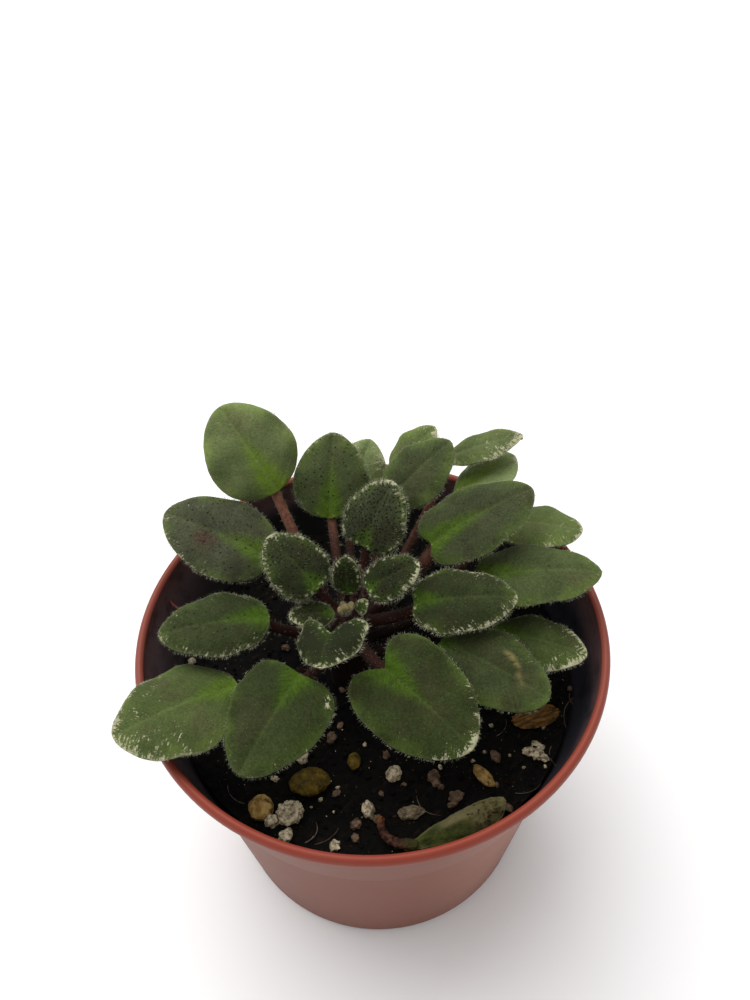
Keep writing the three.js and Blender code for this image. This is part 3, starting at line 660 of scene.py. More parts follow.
def old_leaf_skin():
    """Olive green turning blotchy tan and brown towards the tip, with a pale drying edge, a painted
    highlight along the upper half of its fold and painted shade on its flank towards the pot's wall.
    """
    finish = Finish("old_leaf_skin", 0.1)
    along, across, inward = finish.split(finish.attribute("spot"))
    cloud = finish.noise(2.2, 5, 0.65)
    blotch = finish.noise(1.1, 4, 0.7)
    head = (along + (cloud - 0.5) * 4).fade(9.5, 12.5)
    ridge_highlight = across.fade(-0.6, 0.5) * along.fade(5, 8.5) * along.fade(14.5, 12)
    colour = finish.layers(
        (42, 48, 16),
        (cloud.fade(0.3, 0.7), (74, 80, 34)),
        (head, finish.mix(blotch.fade(0.35, 0.65), (104, 98, 62), (72, 66, 38))),
        # Painted highlight along the ridge and upper half of the fold.
        (ridge_highlight * (0.35 + cloud), (114, 106, 74)),
        # Painted shade on the flank towards the pot's wall.
        (across.fade(-0.8, -2.6) * 0.6, (24, 24, 12)),
        (blotch.fade(0.56, 0.64) * head, (34, 25, 15)),
        (inward.fade(0.5, 0.1) * 0.4, (120, 112, 78)))
    return finish.done(colour, 0.55 + cloud * 0.2, cloud + blotch * 0.6, 0.35)


def floor_paper(settings):
    """Pale, even floor."""
    finish = Finish("floor_paper", 0.1)
    return finish.done(finish.mix(finish.noise(120, 2) * 0.06, settings.floor, (240, 240, 238)), 0.9)


# Making pieces


def pick(*pieces):
    """Selects these pieces alone, because operators act on all that is selected. The first gets active."""
    bpy.ops.object.select_all(action="DESELECT")
    for piece in pieces:
        piece.select_set(True)
    if pieces:
        bpy.context.view_layer.objects.active = pieces[0]


def new_piece(name, points, edges, faces):
    """A piece of these points, in millimetres, with edges or faces between them."""
    mesh = bpy.data.meshes.new(name)
    mesh.from_pydata((np.asarray(points) * MM).tolist(), edges, faces)
    piece = bpy.data.objects.new(name, mesh)
    bpy.context.collection.objects.link(piece)
    return piece


def points_of(mesh):
    """The mesh's points as an array, in millimetres."""
    points = np.empty(len(mesh.vertices) * 3)
    mesh.vertices.foreach_get("co", points)
    return points.reshape(-1, 3) / MM


def move_points(mesh, points):
    """Moves the mesh's points to these places, in millimetres."""
    mesh.vertices.foreach_set("co", (np.asarray(points) * MM).ravel())
    mesh.update()


def keep_at_points(mesh, name, columns):
    """Keeps a vector at each point of the mesh, given as three columns of numbers."""
    attribute = mesh.attributes.new(name, "FLOAT_VECTOR", "POINT")
    attribute.data.foreach_set("vector", np.column_stack(columns).astype(float).ravel())


def apply_modifier(piece, kind, **settings):
    """Adds a modifier with these settings and applies it."""
    modifier = piece.modifiers.new(kind.title(), kind)
    for name, value in settings.items():
        setattr(modifier, name, value)
    bpy.context.view_layer.objects.active = piece
    bpy.ops.object.modifier_apply(modifier=modifier.name)


def form_of(piece):
    """A piece's points, in millimetres, and faces. The piece itself is removed."""
    points = points_of(piece.data)
    faces = [tuple(face.vertices) for face in piece.data.polygons]
    bpy.data.objects.remove(piece)
    return points, faces


def in_edit_mode(piece, *steps):
    """Runs the steps on the whole piece in edit mode."""
    pick(piece)
    bpy.ops.object.mode_set(mode="EDIT")
    bpy.ops.mesh.select_all(action="SELECT")
    for step in steps:
        step()
    bpy.ops.object.mode_set(mode="OBJECT")


def face_outwards(piece):
    """Merges doubled points and turns every face outwards."""
    in_edit_mode(
        piece,
        lambda: bpy.ops.mesh.remove_doubles(threshold=0.004 * MM),
        lambda: bpy.ops.mesh.normals_make_consistent(inside=False),
    )


def smooth(piece, degrees=180):
    """Shades the piece smooth, but for edges sharper than this."""
    pick(piece)
    bpy.ops.object.shade_smooth_by_angle(angle=math.radians(degrees))


def join(pieces):
    """Joins pieces into the first of them."""
    pick(*pieces)
    bpy.ops.object.join()
    return pieces[0]


def place_piece(piece, name, materials, nodes=()):
    """Names a finished piece, dresses it, sets it on the body and lets it stand for its nodes."""
    piece.name = name
    piece.data.name = name
    piece.data.materials.clear()
    for material in materials:
        piece.data.materials.append(material)
    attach(piece, "root")
    if nodes:
        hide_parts(*nodes)


def spun(name, outline, steps, centre=(0, 0)):
    """A closed solid made by spinning an outline, given as radius and height, round the upright axis
    through centre."""
    edges = [(i, i + 1) for i in range(len(outline) - 1)]
    piece = new_piece(name, [(radius, 0, height) for radius, height in outline], edges, [])
    in_edit_mode(
        piece,
        lambda: bpy.ops.mesh.spin(steps=steps, angle=2 * math.pi, center=(0, 0, 0), axis=(0, 0, 1)),
    )
    face_outwards(piece)
    move_points(piece.data, points_of(piece.data) + np.array([*centre, 0]))
    return piece


def arc(centre, radii, start, end, steps):
    """Points on an arc of an ellipse, from one angle to another in degrees."""
    points = []
    for i in range(steps + 1):
        angle = math.radians(start + (end - start) * i / steps)
        points.append((centre[0] + radii[0] * math.cos(angle), centre[1] + radii[1] * math.sin(angle)))
    return points


# The pot


def wall_radius(height):
    """Outer radius of the pot's wall at a height above its base."""
    collar_base = POT_HEIGHT - COLLAR_HEIGHT
    if height >= collar_base:
        along = (height - collar_base) / (COLLAR_HEIGHT - LIP_DEPTH)
        return COLLAR_BASE_RADIUS + (COLLAR_TOP_RADIUS - COLLAR_BASE_RADIUS) * along
    return BASE_RADIUS + (COLLAR_BASE_RADIUS - STACKING_STEP - BASE_RADIUS) * height / collar_base


def pot_outline():
    """The pot's section, from the middle of its base round the lip to the middle of its floor."""
    under_lip = POT_HEIGHT - LIP_DEPTH
    collar_base = POT_HEIGHT - COLLAR_HEIGHT
    lip_centre = (RIM_RADIUS - LIP_WIDTH / 2, POT_HEIGHT - LIP_DEPTH / 2)
    return [
        (0, 0.3),
        (4, 0.3),
        (4.4, 0),
        *arc((BASE_RADIUS - FOOT_ROUND, FOOT_ROUND), (FOOT_ROUND, FOOT_ROUND), -90, 0, 8),
        (wall_radius(collar_base - 1.2), collar_base - 1.2),
        (wall_radius(collar_base - 0.6) + 0.03, collar_base - 0.55),
        (wall_radius(collar_base) - 0.08, collar_base - 0.12),
        (wall_radius(collar_base), collar_base + 0.15),
        (wall_radius(under_lip - 6), under_lip - 6),
        (wall_radius(under_lip - 0.8), under_lip - 0.8),
        (wall_radius(under_lip) - 0.12, under_lip - 0.2),
        (wall_radius(under_lip) - 0.14, under_lip + 0.04),
        *arc(lip_centre, (LIP_WIDTH / 2, LIP_DEPTH / 2), -58, 150, 22),
        (wall_radius(under_lip) - WALL + 0.09, POT_HEIGHT - 0.9),
        (wall_radius(under_lip) - WALL, under_lip - 1),
        (wall_radius(collar_base) - WALL, collar_base),
        (wall_radius(collar_base - 0.6) - WALL, collar_base - 0.6),
        (BASE_RADIUS - WALL, FOOT_ROUND + WALL),
        (BASE_RADIUS - WALL - FOOT_ROUND, WALL),
        (0, WALL),
    ]


def keep_wall_parts(mesh):
    """Keeps at the points of the pot whether they are inside it, and how near the crease under its lip,
    where shade is painted.
    """
    x, y, height = points_of(mesh).T
    # Taken a little higher up, so that the inner wall at the collar's foot counts as inside
    outer = np.array([min(wall_radius(z + 0.05), COLLAR_TOP_RADIUS) for z in height])
    inner = np.hypot(x, y) < outer - WALL * 0.6
    inside = inner & (height < POT_HEIGHT - 0.75) & (height > WALL / 2)
    crease_shade = np.exp(-(((height - POT_HEIGHT + LIP_DEPTH) / 0.22) ** 2)) * ~inner
    keep_at_points(mesh, "parts", [inside, crease_shade, np.zeros_like(height)])


class VIOLET_OT_pot(bpy.types.Operator):
    """Spin the nursery pot and cut its drain holes"""

    bl_idname = "violet.pot"
    bl_label = "Pot"

    def execute(self, context):
        """Makes the pot."""
        settings = context.scene.violet_pot
        pot = spun("pot_wall", pot_outline(), settings.sides)
        drills = []
        for i in range(DRAIN_HOLES):
            angle = 2 * math.pi * i / DRAIN_HOLES
            reach = DRAIN_CIRCLE_RADIUS * MM
            place = (reach * math.cos(angle), reach * math.sin(angle), 0)
            bpy.ops.mesh.primitive_cylinder_add(
                vertices=40, radius=DRAIN_RADIUS * MM, depth=4 * WALL * MM, location=place)
            drills.append(context.active_object)
        drill = join(drills)
        bpy.ops.object.transform_apply(location=True, rotation=True, scale=True)
        apply_modifier(pot, "BOOLEAN", operation="DIFFERENCE", solver="EXACT", object=drill)
        bpy.data.objects.remove(drill)
        smooth(pot, 40)
        keep_wall_parts(pot.data)
        place_piece(pot, "nursery_pot", [pot_plastic(settings)], ["pot"])
        return {"FINISHED"}


# The soil and what lies on it


def soil_height(x, y):
    """Height of the soil's even surface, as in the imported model."""
    broad = math.sin(0.31 * x + 1.3) * math.cos(0.27 * y - 0.4)
    fine = 0.6 * math.sin(0.62 * y + 0.45 * x)
    return POT_HEIGHT + SOIL_TOP + SOIL_UNEVENNESS * (broad + fine)


def lumpy_height(x, y, lump_height):
    """Height of the soil's surface with its lumps of peat."""
    lumps = noise.fractal(Vector((x / 2.6, y / 2.6, 0.7)), 0.9, 2.1, 4)
    distances, _ = noise.voronoi(Vector((x / 1.25, y / 1.25, 2.3)))
    crumb = max(0, 0.55 - distances[0])
    return soil_height(x, y) + lump_height * (0.55 * lumps + 0.9 * crumb - 0.2)


def soil_radius():
    """Radius of the soil's surface, against the pot's wall."""
    return wall_radius(POT_HEIGHT + SOIL_TOP - SOIL_EDGE_DEPTH) - WALL - CLEARANCE


class VIOLET_OT_soil(bpy.types.Operator):
    """Fill the pot with lumpy peat"""

    bl_idname = "violet.soil"
    bl_label = "Soil"

    def execute(self, context):
        """Makes the soil from a grid rounded into a disc, with its side pulled down to the pot's floor."""
        settings = context.scene.violet_soil
        pick()
        bpy.ops.mesh.primitive_grid_add(
            x_subdivisions=settings.cells, y_subdivisions=settings.cells, size=2)
        soil = context.active_object
        flat = points_of(soil.data) * MM
        u, v = flat[:, 0], flat[:, 1]
        radius = soil_radius()
        x = radius * u * np.sqrt(1 - v**2 / 2)
        y = radius * v * np.sqrt(1 - u**2 / 2)
        z = [lumpy_height(px, py, settings.lump_height) for px, py in zip(x, y)]
        move_points(soil.data, np.column_stack([x, y, z]))
        self.pull_down_side(soil)
        smooth(soil)
        place_piece(soil, "peat_mix", [peat(settings)], ["soil"])
        return {"FINISHED"}

    def pull_down_side(self, soil):
        """Extrudes the rim down inside the pot's wall and closes the bottom."""
        inset = WALL + CLEARANCE
        under_collar = POT_HEIGHT - COLLAR_HEIGHT - 2 * STACKING_STEP
        levels = [
            (wall_radius(under_collar) - inset, under_collar),
            (BASE_RADIUS - inset, inset + 2 * FOOT_ROUND),
            (BASE_RADIUS - inset - FOOT_ROUND, inset),
        ]
        mesh = bmesh.new()
        mesh.from_mesh(soil.data)
        rim = [edge for edge in mesh.edges if edge.is_boundary]
        for radius, height in levels:
            made = bmesh.ops.extrude_edge_only(mesh, edges=rim)["geom"]
            rim = [item for item in made if isinstance(item, bmesh.types.BMEdge)]
            for vert in {vert for edge in rim for vert in edge.verts}:
                flat = Vector((vert.co.x, vert.co.y)).normalized() * radius * MM
                vert.co = (flat.x, flat.y, height * MM)
        bmesh.ops.contextual_create(mesh, geom=rim)
        bmesh.ops.recalc_face_normals(mesh, faces=mesh.faces)
        mesh.to_mesh(soil.data)
        mesh.free()


def ball(subdivisions):
    """A ball of triangles, one millimetre in radius."""
    pick()
    bpy.ops.mesh.primitive_ico_sphere_add(subdivisions=subdivisions, radius=MM)
    return bpy.context.active_object


def copies_object(name, forms):
    """One object holding many copies, each given as points in millimetres and faces."""
    points = []
    faces = []
    for form_points, form_faces in forms:
        start = len(points)
        points.extend(form_points)
        faces.extend(tuple(start + i for i in face) for face in form_faces)
    return new_piece(name, points, [], faces)


def lump(points, place, knobs, shape, size, draw):
    """Points of a knobbly lump of this size, stretched to a shape and turned at random."""
    height, grain = knobs
    outward = [1 + height * noise.noise(Vector(point) * grain + Vector(place)) for point in points]
    turn = Matrix.Rotation(draw.uniform(0, 2 * math.pi), 3, "Z") @ Matrix.Rotation(
        draw.uniform(0, math.pi), 3, "X")
    return (points * np.array(outward)[:, None] * np.array(shape)) @ np.array(turn).T * size / 2


class VIOLET_OT_crumbs(bpy.types.Operator):
    """Strew crumbs of peat, pale specks and fine roots over the soil"""

    bl_idname = "violet.crumbs"
    bl_label = "Crumbs and fibres"

    def execute(self, context):
        """Strews the crumbs by seeded draws."""
        settings = context.scene.violet_soil
        draw = random.Random(CRUMB_SEED)
        peat_material = bpy.data.materials["peat"]
        brown = pebble("brown_crumb", (74, 48, 32), (40, 26, 18))
        specks = perlite(settings)
        specks.name = "perlite_dust"
        self.strew("peat_crumbs", settings, draw, settings.crumbs, (0.35, 1.1), peat_material, 2)
        self.strew("brown_crumbs", settings, draw, BROWN_CRUMBS, (0.2, 0.7), brown, 2)
        self.strew("perlite_specks", settings, draw, PERLITE_SPECKS, (0.08, 0.3), specks, 1)
        self.place_bits("perlite_bits", PALE_BITS, specks, draw)
        self.place_bits("tan_bits", TAN_BITS, pebble("tan_bit", (128, 106, 86), (84, 66, 50)), draw)
        fibres = join([self.fibre(settings, draw, *ends) for ends in FIBRES])
        root_skin = pebble("dry_root", (120, 106, 92), (76, 50, 42))
        self.finish_lot(fibres, "root_fibres", "stalk", root_skin, 180)
        dead = self.fibre(settings, draw, *WALL_STALK)
        self.finish_lot(dead, "dead_stalk", "stalk", pebble("dead_stalk", (124, 68, 62), (84, 46, 42)), 180)
        return {"FINISHED"}

    def finish_lot(self, piece, name, slot, material, degrees=60):
        """Smooths a lot of bits and sets it in its place."""
        smooth(piece, degrees)
        place_piece(piece, name, [material])

    def strew(self, name, settings, draw, count, sizes, material, subdivisions):
        """Drops count lumps of these sizes on the soil, away from the crown."""
        points, faces = form_of(ball(subdivisions))
        forms = []
        while len(forms) < count:
            angle = draw.uniform(0, 2 * math.pi)
            reach = (soil_radius() - 0.8) * math.sqrt(draw.random())
            x, y = reach * math.cos(angle), reach * math.sin(angle)
            if math.hypot(x - CROWN["x"], y - CROWN["y"]) < CROWN["foot"] + 1:
                continue
            size = sizes[0] + (sizes[1] - sizes[0]) * draw.random() ** 2.5
            shape = [draw.uniform(0.7, 1.3), draw.uniform(0.6, 1.1), draw.uniform(0.45, 0.9)]
            crumb = lump(points, (x, y, 0), (0.28, 1.7), shape, size, draw)
            height = lumpy_height(x, y, settings.lump_height) + size * 0.2
            forms.append((crumb + np.array([x, y, height]), faces))
        self.finish_lot(copies_object(name, forms), name, "soil", material)

    def place_bits(self, name, bits, material, draw):
        """The larger bits that lie between the grains."""
        points, faces = form_of(ball(3))
        forms = []
        for x, y, size in bits:
            shape = [1.0, draw.uniform(0.65, 1.0), draw.uniform(0.6, 0.85)]
            bit = lump(points, (x, y, 3), (0.45, 1.9), shape, size, draw)
            forms.append((bit + np.array([x, y, soil_height(x, y) + size * 0.22]), faces))
        self.finish_lot(copies_object(name, forms), name, "perlite", material)

    def fibre(self, settings, draw, first, last, thickness):
        """A fine pale root or dead stalk lying on the soil or against the wall."""
        ends = []
        for x, y, up in (first, last):
            ends.append(Vector((x, y, lumpy_height(x, y, settings.lump_height) + 0.25 + up)))
        start, end = ends
        bow = Vector((end.y - start.y, start.x - end.x, 1.4)) * draw.uniform(0.1, 0.25)
        return bent_tube("fibre", start, (start + end) / 2 + bow, end, thickness, thickness * 0.6)


def bent_tube(name, start, middle, end, thickness, end_thickness):
    """A tapering round tube that leaves start, heads for twice the way to middle and comes in to end."""
    pick()
    bpy.ops.curve.primitive_bezier_curve_add()
    tube = bpy.context.active_object
    tube.name = name
    corner = middle * 2 - (start + end) / 2
    first, last = tube.data.splines[0].bezier_points
    for point, place, radius in ((first, start, thickness / 2), (last, end, end_thickness / 2)):
        point.handle_left_type = "FREE"
        point.handle_right_type = "FREE"
        point.co = place * MM
        point.handle_left = (place + (corner - place) * 2 / 3) * MM
        point.handle_right = point.handle_left
        point.radius = radius
    tube.data.bevel_depth = MM
    tube.data.bevel_resolution = 3
    tube.data.resolution_u = 16
    tube.data.use_fill_caps = True
    bpy.ops.object.convert(target="MESH")
    tube = bpy.context.active_object
    face_outwards(tube)
    return tube


class VIOLET_OT_grains(bpy.types.Operator):
    """Shape the perlite grains, pebbles and bark chip"""

    bl_idname = "violet.grains"
    bl_label = "Grains"

    def execute(self, context):
        """Makes every grain from a ball of its three sizes, roughened within its own outline."""
        finishes = {
            "perlite": perlite(context.scene.violet_soil),
            "yellow_pebble": pebble("yellow_pebble", (182, 150, 90), (128, 98, 48)),
            "ochre_pebble": pebble("ochre_pebble", (112, 92, 28), (66, 52, 12)),
            "perlite_long": pebble("dirty_perlite", (150, 134, 108), (88, 76, 58)),
            "bark": bark(),
        }
        for name, (slot, *form) in GRAINS.items():
            grain = self.shape(name, *form)
            smooth(grain, 80)
            place_piece(grain, name + "_fine", [finishes.get(name, finishes[slot])], [name])
        return {"FINISHED"}

    def shape(self, name, place, size, turn, lumpiness):
        """One grain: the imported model's rough ball with finer lumps on it."""
        grain = ball(5)
        points = points_of(grain.data)
        x, y, z = points.T
        bump = (np.sin(5 * x + turn) * np.cos(4 * y + 1) + np.sin(6 * z)) / 2
        fine = [noise.fractal(Vector(point) * 2.2 + Vector((*place, 0)), 0.8, 2.2, 4) for point in points]
        lobes = 0
        if name == "perlite_flake":
            heading = np.arctan2(y, x)
            lobes = 0.22 * np.cos(3 * heading + 0.6) + 0.14 * np.cos(5 * heading) - 0.16
        points = points * (1 + GRAIN_ROUGHNESS * bump + lumpiness * np.array(fine) + lobes)[:, None]
        level = np.array(Matrix.Rotation(math.radians(turn), 3, "Z"))
        high = soil_height(*place) + size[2] * (0.5 - GRAIN_SUNK)
        move_points(grain.data, points * np.array(size) / 2 @ level.T + np.array([*place, high]))
        return grain


# The plant


def unit(vectors):
    """The vector, or each row of vectors, at a length of one."""
    return vectors / np.linalg.norm(vectors, axis=-1, keepdims=True)


def raised(point):
    """A place given above the pot's rim, as an array above its base."""
    return np.array([point[0], point[1], point[2] + POT_HEIGHT], dtype=float)


class Blade:
    """A blade's own axes, and every place on its face."""

    def __init__(self, leaf):
        self.leaf = leaf
        self.base = raised(leaf["base"])
        midrib = raised(leaf["tip"]) - self.base
        self.length = np.linalg.norm(midrib)
        self.along = midrib / self.length
        upright = unit(np.array([0, 0, 1]) - self.along * self.along[2])
        across = np.cross(upright, self.along)
        roll = math.radians(leaf["roll"])
        self.up = upright * math.cos(roll) + across * math.sin(roll)
        self.left = across * math.cos(roll) - upright * math.sin(roll)

    def half_width(self, station):
        """Half the blade's width at a station from 0 at the stalk to 1 at the tip."""
        bow = np.sin(np.pi * station ** self.leaf["wide"])
        return self.leaf["width"] / 2 * np.clip(bow, 0, None) ** self.leaf["blunt"]

    def flat(self, station, side):
        """Millimetres along and across the blade, with the fine scallops of its margin."""
        away = np.abs(side)
        lobe = self.leaf["heart"] * 2 * np.sqrt(station * (1 - station)) * (1 - station) ** 1.5
        scallop = 0.011 * np.sin(2 * np.pi * 9 * station + 2 * side) * away**4
        reach = self.half_width(station) * np.where(side > 0, self.leaf.get("back_half", 1), 1)
        return self.length * (station - lobe * away), side * reach * (1 + scallop)

    def relief(self, along, across, away):
        """How far the face stands up between its sunk midrib and side veins."""
        groove = -0.17 * np.exp(-((across / 0.7) ** 2)) * (1 - along / self.length * 0.85)
        spacing = max(self.length / 6, 1.3)
        phase = (along - 0.75 * np.abs(across)) / spacing
        near = np.abs(phase - np.round(phase)) * spacing
        quilt = 0.16 * (1 - np.exp(-((near / 0.4) ** 2))) * (1 - away**3)
        return groove + quilt * np.clip(np.abs(across) / 1.2, 0, 1)

    def places(self, station, side, lift=0.0):
        """Places on the blade's face, or this far above it."""
        leaf = self.leaf
        away = np.abs(side)
        x, y = self.flat(station, side)
        wave = WAVE * away**2 * np.sin(2 * np.pi * WAVES_ALONG * station + leaf["base"][0] + side)
        if "fold" in leaf:
            cupped = -leaf["fold"] * away * np.where(side > 0, leaf["back_half"], 1)
        else:
            cupped = away * (CUP_RISE - CUP_CURL * away) + wave
        arch = ARCH * self.length * 4 * station * (1 - station)
        z = arch + self.half_width(station) * cupped + self.relief(x, y, away) + lift
        return self.base + np.outer(x, self.along) + np.outer(y, self.left) + np.outer(z, self.up)

    def normals(self, station, side):
        """Directions straight out of the face."""
        step = 0.01
        station = np.clip(station, 0.03, 0.96)
        side = np.clip(side, -0.98, 0.98)
        forward = self.places(station + step, side) - self.places(station - step, side)
        leftward = self.places(station, side + step) - self.places(station, side - step)
        return unit(np.cross(forward, leftward))

    def margin_distance(self, along, across):
        """Millimetres from places on the blade to the nearest point of its margin."""
        station = np.linspace(0, 1, 160)
        edge = [np.column_stack(self.flat(station, np.full(160, side))) for side in (-1.0, 1.0)]
        edge = np.concatenate(edge)
        gaps = edge[None] - np.column_stack([along, across])[:, None]
        return np.sqrt((gaps**2).sum(axis=2)).min(axis=1)


def fade(value, low, high):
    """0 below low, 1 above high and smooth between them, for arrays."""
    share = np.clip((value - low) / (high - low), 0, 1)
    return share * share * (3 - 2 * share)


def fleck_strength(leaf, blade, station, side, inward):
    """How thick the cream flecks lie: along each margin, at the tip and over the face."""
    left, right, tip, everywhere = leaf["flecks"]
    margin = np.where(side > 0, left, right)
    along_margin = margin * np.exp(-inward / 0.85) * (0.45 + 0.55 * fade(station, 0.05, 0.4))
    from_tip = (1 - station) * blade.length
    at_tip = tip * np.exp(-from_tip / (0.22 * blade.length)) * np.exp(-inward / 1.9)
    over_face = everywhere * fade(station, 0.25, 0.7) * 0.8
    return np.clip(along_margin + at_tip * 1.25 + over_face, 0, 1.4)


def flame_strength(leaf, station, across):
    """How bright the green flame is, broad at the stalk and drawn out along the midrib."""
    reach = leaf["flame"]
    if reach <= 0:
        return np.zeros_like(station)
    share = np.clip(station / reach, 0, 1.6)
    breadth = 0.5 + 0.2 * leaf["width"] * np.clip(1 - share, 0, 1) ** 1.2
    side_fade = np.exp(-((across / breadth) ** 2))
    return side_fade * (1 - fade(share, 0.2, 1.35)) * (0.6 + 0.5 * reach)


def keep_markings(mesh, leaf, blade, station, side):
    """Keeps at the points where they are on the blade and what marks them."""
    along, across = blade.flat(station, side)
    inward = blade.margin_distance(along, across)
    # The tone is the blade's own green with painted light and shade; it grows lighter towards the tip and
    # near the margin.
    tone_and_painted_light = leaf["tone_and_painted_light"] + 0.15 * (station - 0.5) + 0.1 * np.exp(-inward / 0.7)
    reach = {kind: np.zeros_like(station) for kind in ("scab", "scar", "fleck")}
    for kind, middle, size in leaf.get("blemishes", ()):
        away = np.hypot((along - middle[0]) / size[0], (across - middle[1]) / size[1])
        reach[kind] += 1 - fade(away, 0.5, 1.1)
    flecks = fleck_strength(leaf, blade, station, side, inward) + 0.7 * reach["fleck"]
    everywhere = np.ones_like(station)
    keep_at_points(mesh, "spot", [along, across, inward])
    keep_at_points(mesh, "marks", [flecks, flame_strength(leaf, station, across), tone_and_painted_light])
    keep_at_points(mesh, "nature", [leaf[name] * everywhere for name in ("pits", "grey", "rim")])
    keep_at_points(mesh, "blemish", [reach["scab"], reach["scar"], everywhere])


def shape_blade(name, leaf, settings, thicker=1):
    """A blade from a flat grid: bent to its form, closed at both ends, and thickened towards its midrib. The
    small young blades have two thirds of the cells each way."""
    thirds = 2 if "young" in name else 3
    columns, stations = (count * thirds // 3 for count in (settings.columns, settings.stations))
    pick()
    bpy.ops.mesh.primitive_grid_add(x_subdivisions=columns, y_subdivisions=stations, size=2)
    piece = bpy.context.active_object
    grid = points_of(piece.data) * MM
    side = -grid[:, 0]
    station = np.clip((1 - np.cos(np.pi * (grid[:, 1] + 1) / 2)) / 2, 0, 1)
    blade = Blade(leaf)
    move_points(piece.data, blade.places(station, side))
    keep_markings(piece.data, leaf, blade, station, side)
    group = piece.vertex_groups.new(name="thickness")
    _, across = blade.flat(station, side)
    shares = 0.36 + 0.3 * (1 - np.abs(side) ** 3) + 0.34 * np.exp(-((across / 0.7) ** 2)) * (1 - station)
    for i, share in enumerate(shares):
        group.add([i], float(share), "REPLACE")
    in_edit_mode(piece, lambda: bpy.ops.mesh.remove_doubles(threshold=0.002 * MM))
    apply_modifier(
        piece, "SOLIDIFY", thickness=settings.thickness * thicker * MM, offset=-1.0,
        vertex_group="thickness", thickness_vertex_group=0.0, material_offset=1)
    apply_modifier(piece, "SUBSURF", levels=1, render_levels=1)
    piece.vertex_groups.clear()
    smooth(piece)
    return piece


class VIOLET_OT_blades(bpy.types.Operator):
    """Shape every blade of the rosette"""

    bl_idname = "violet.blades"
    bl_label = "Blades"

    def execute(self, context):
        """Makes one piece for each blade."""
        settings = context.scene.violet_plant
        skins = [blade_skin("blade_face", settings, False), blade_skin("blade_back", settings, True)]
        for name, leaf in LEAVES.items():
            slot = "young_blade" if "young" in name else "blade"
            place_piece(shape_blade(name, leaf, settings), name + "_blade", skins, [name])
        return {"FINISHED"}


def wrinkle(piece, depth, grain, levels):
    """Divides a smooth piece finely and wrinkles it this deep and this wide, in millimetres."""
    apply_modifier(piece, "SUBSURF", levels=levels, render_levels=levels)
    points = points_of(piece.data)
    outward = np.empty(len(points) * 3)
    piece.data.vertices.foreach_get("normal", outward)
    folds = np.array([noise.fractal(Vector(point) / grain, 0.8, 2.1, 4) for point in points])
    move_points(piece.data, points + outward.reshape(-1, 3) * folds[:, None] * depth)
    smooth(piece)


class VIOLET_OT_old_leaf(bpy.types.Operator):
    """Shape the withered leaf and its stub"""

    bl_idname = "violet.old_leaf"
    bl_label = "Old leaf"

    def execute(self, context):
        """Makes the folded leaf against the front wall."""
        piece = shape_blade("old_leaf", OLD_LEAF, context.scene.violet_plant, 1.9)
        wrinkle(piece, 0.2, 2.4, 1)
        skin = old_leaf_skin()
        place_piece(piece, "old_leaf_fine", [skin, skin], ["old_leaf"])
        points = [Vector(raised(point)) for point in OLD_STUB["points"]]
        stub = bent_tube("stub", *points, *OLD_STUB["thickness"])
        wrinkle(stub, 0.22, 0.9, 2)
        place_piece(stub, "old_leaf_stub_fine", [stub_skin()], ["old_leaf_stub"])
        return {"FINISHED"}


def stalk_points(leaf, blade):
    """Where a stalk leaves the crown, sags and joins its blade's keel."""
    root = np.array([CROWN["x"], CROWN["y"], POT_HEIGHT + leaf["root"]])
    below = 0.75 + leaf["stalk"] * 0.5
    join_place = blade.base - blade.up * below + blade.along * (STALK_UNDER_BLADE + 0.5)
    middle = (root + join_place) / 2
    middle[2] -= STALK_SAG * np.linalg.norm(join_place - root)
    return root, middle, join_place


class VIOLET_OT_stalks(bpy.types.Operator):
    """Grow the crown and all the stalks as one body"""

    bl_idname = "violet.stalks"
    bl_label = "Crown and stalks"

    def execute(self, context):
        """Makes the stalks as tubes, runs each on under its blade, and melts them into the crown."""
        foot, neck, top, bottom = (CROWN[part] for part in ("foot", "neck", "top", "bottom"))
        profile = [
            (0, bottom), (foot * 0.8, bottom), (foot, bottom + foot / 2), (foot, CROWN["shoulder"]),
            ((foot + neck) / 2, top - neck), (neck, top - neck / 4), (0, top)]
        above_base = [(radius, POT_HEIGHT + height) for radius, height in profile]
        pieces = [spun("crown", above_base, 32, (CROWN["x"], CROWN["y"]))]
        for leaf in LEAVES.values():
            blade = Blade(leaf)
            root, middle, end = (Vector(point) for point in stalk_points(leaf, blade))
            thickness = leaf["stalk"]
            pieces.append(bent_tube("stalk", root, middle, end, thickness * 1.06, thickness * 0.92))
            keel = blade.places(np.array([0.2, 0.38]), np.zeros(2), np.array([-0.77, -0.75]))
            pieces.append(bent_tube("keel", end, *map(Vector, keel), thickness * 0.9, 0.5))
        plant = join(pieces)
        apply_modifier(plant, "REMESH", mode="VOXEL", voxel_size=0.32 * MM)
        apply_modifier(plant, "SMOOTH", factor=0.5, iterations=5)
        smooth(plant)
        skin = stalk_skin(context.scene.violet_plant)
        place_piece(plant, "crown_and_stalks_fine", [skin], ["crown_and_stalks"])
        return {"FINISHED"}


# Hairs: how many to a millimetre of margin, a square millimetre of face or a millimetre of stalk. The first
# number is for a bald leaf, and the second is added for fuzz.
MARGIN_HAIRS = (4.5, 4.6)
FACE_HAIRS = (0.7, 2.2)
STALK_HAIRS = 9
MARGIN_TO_LENGTH = 2.2
AREA_TO_BOX = 0.72


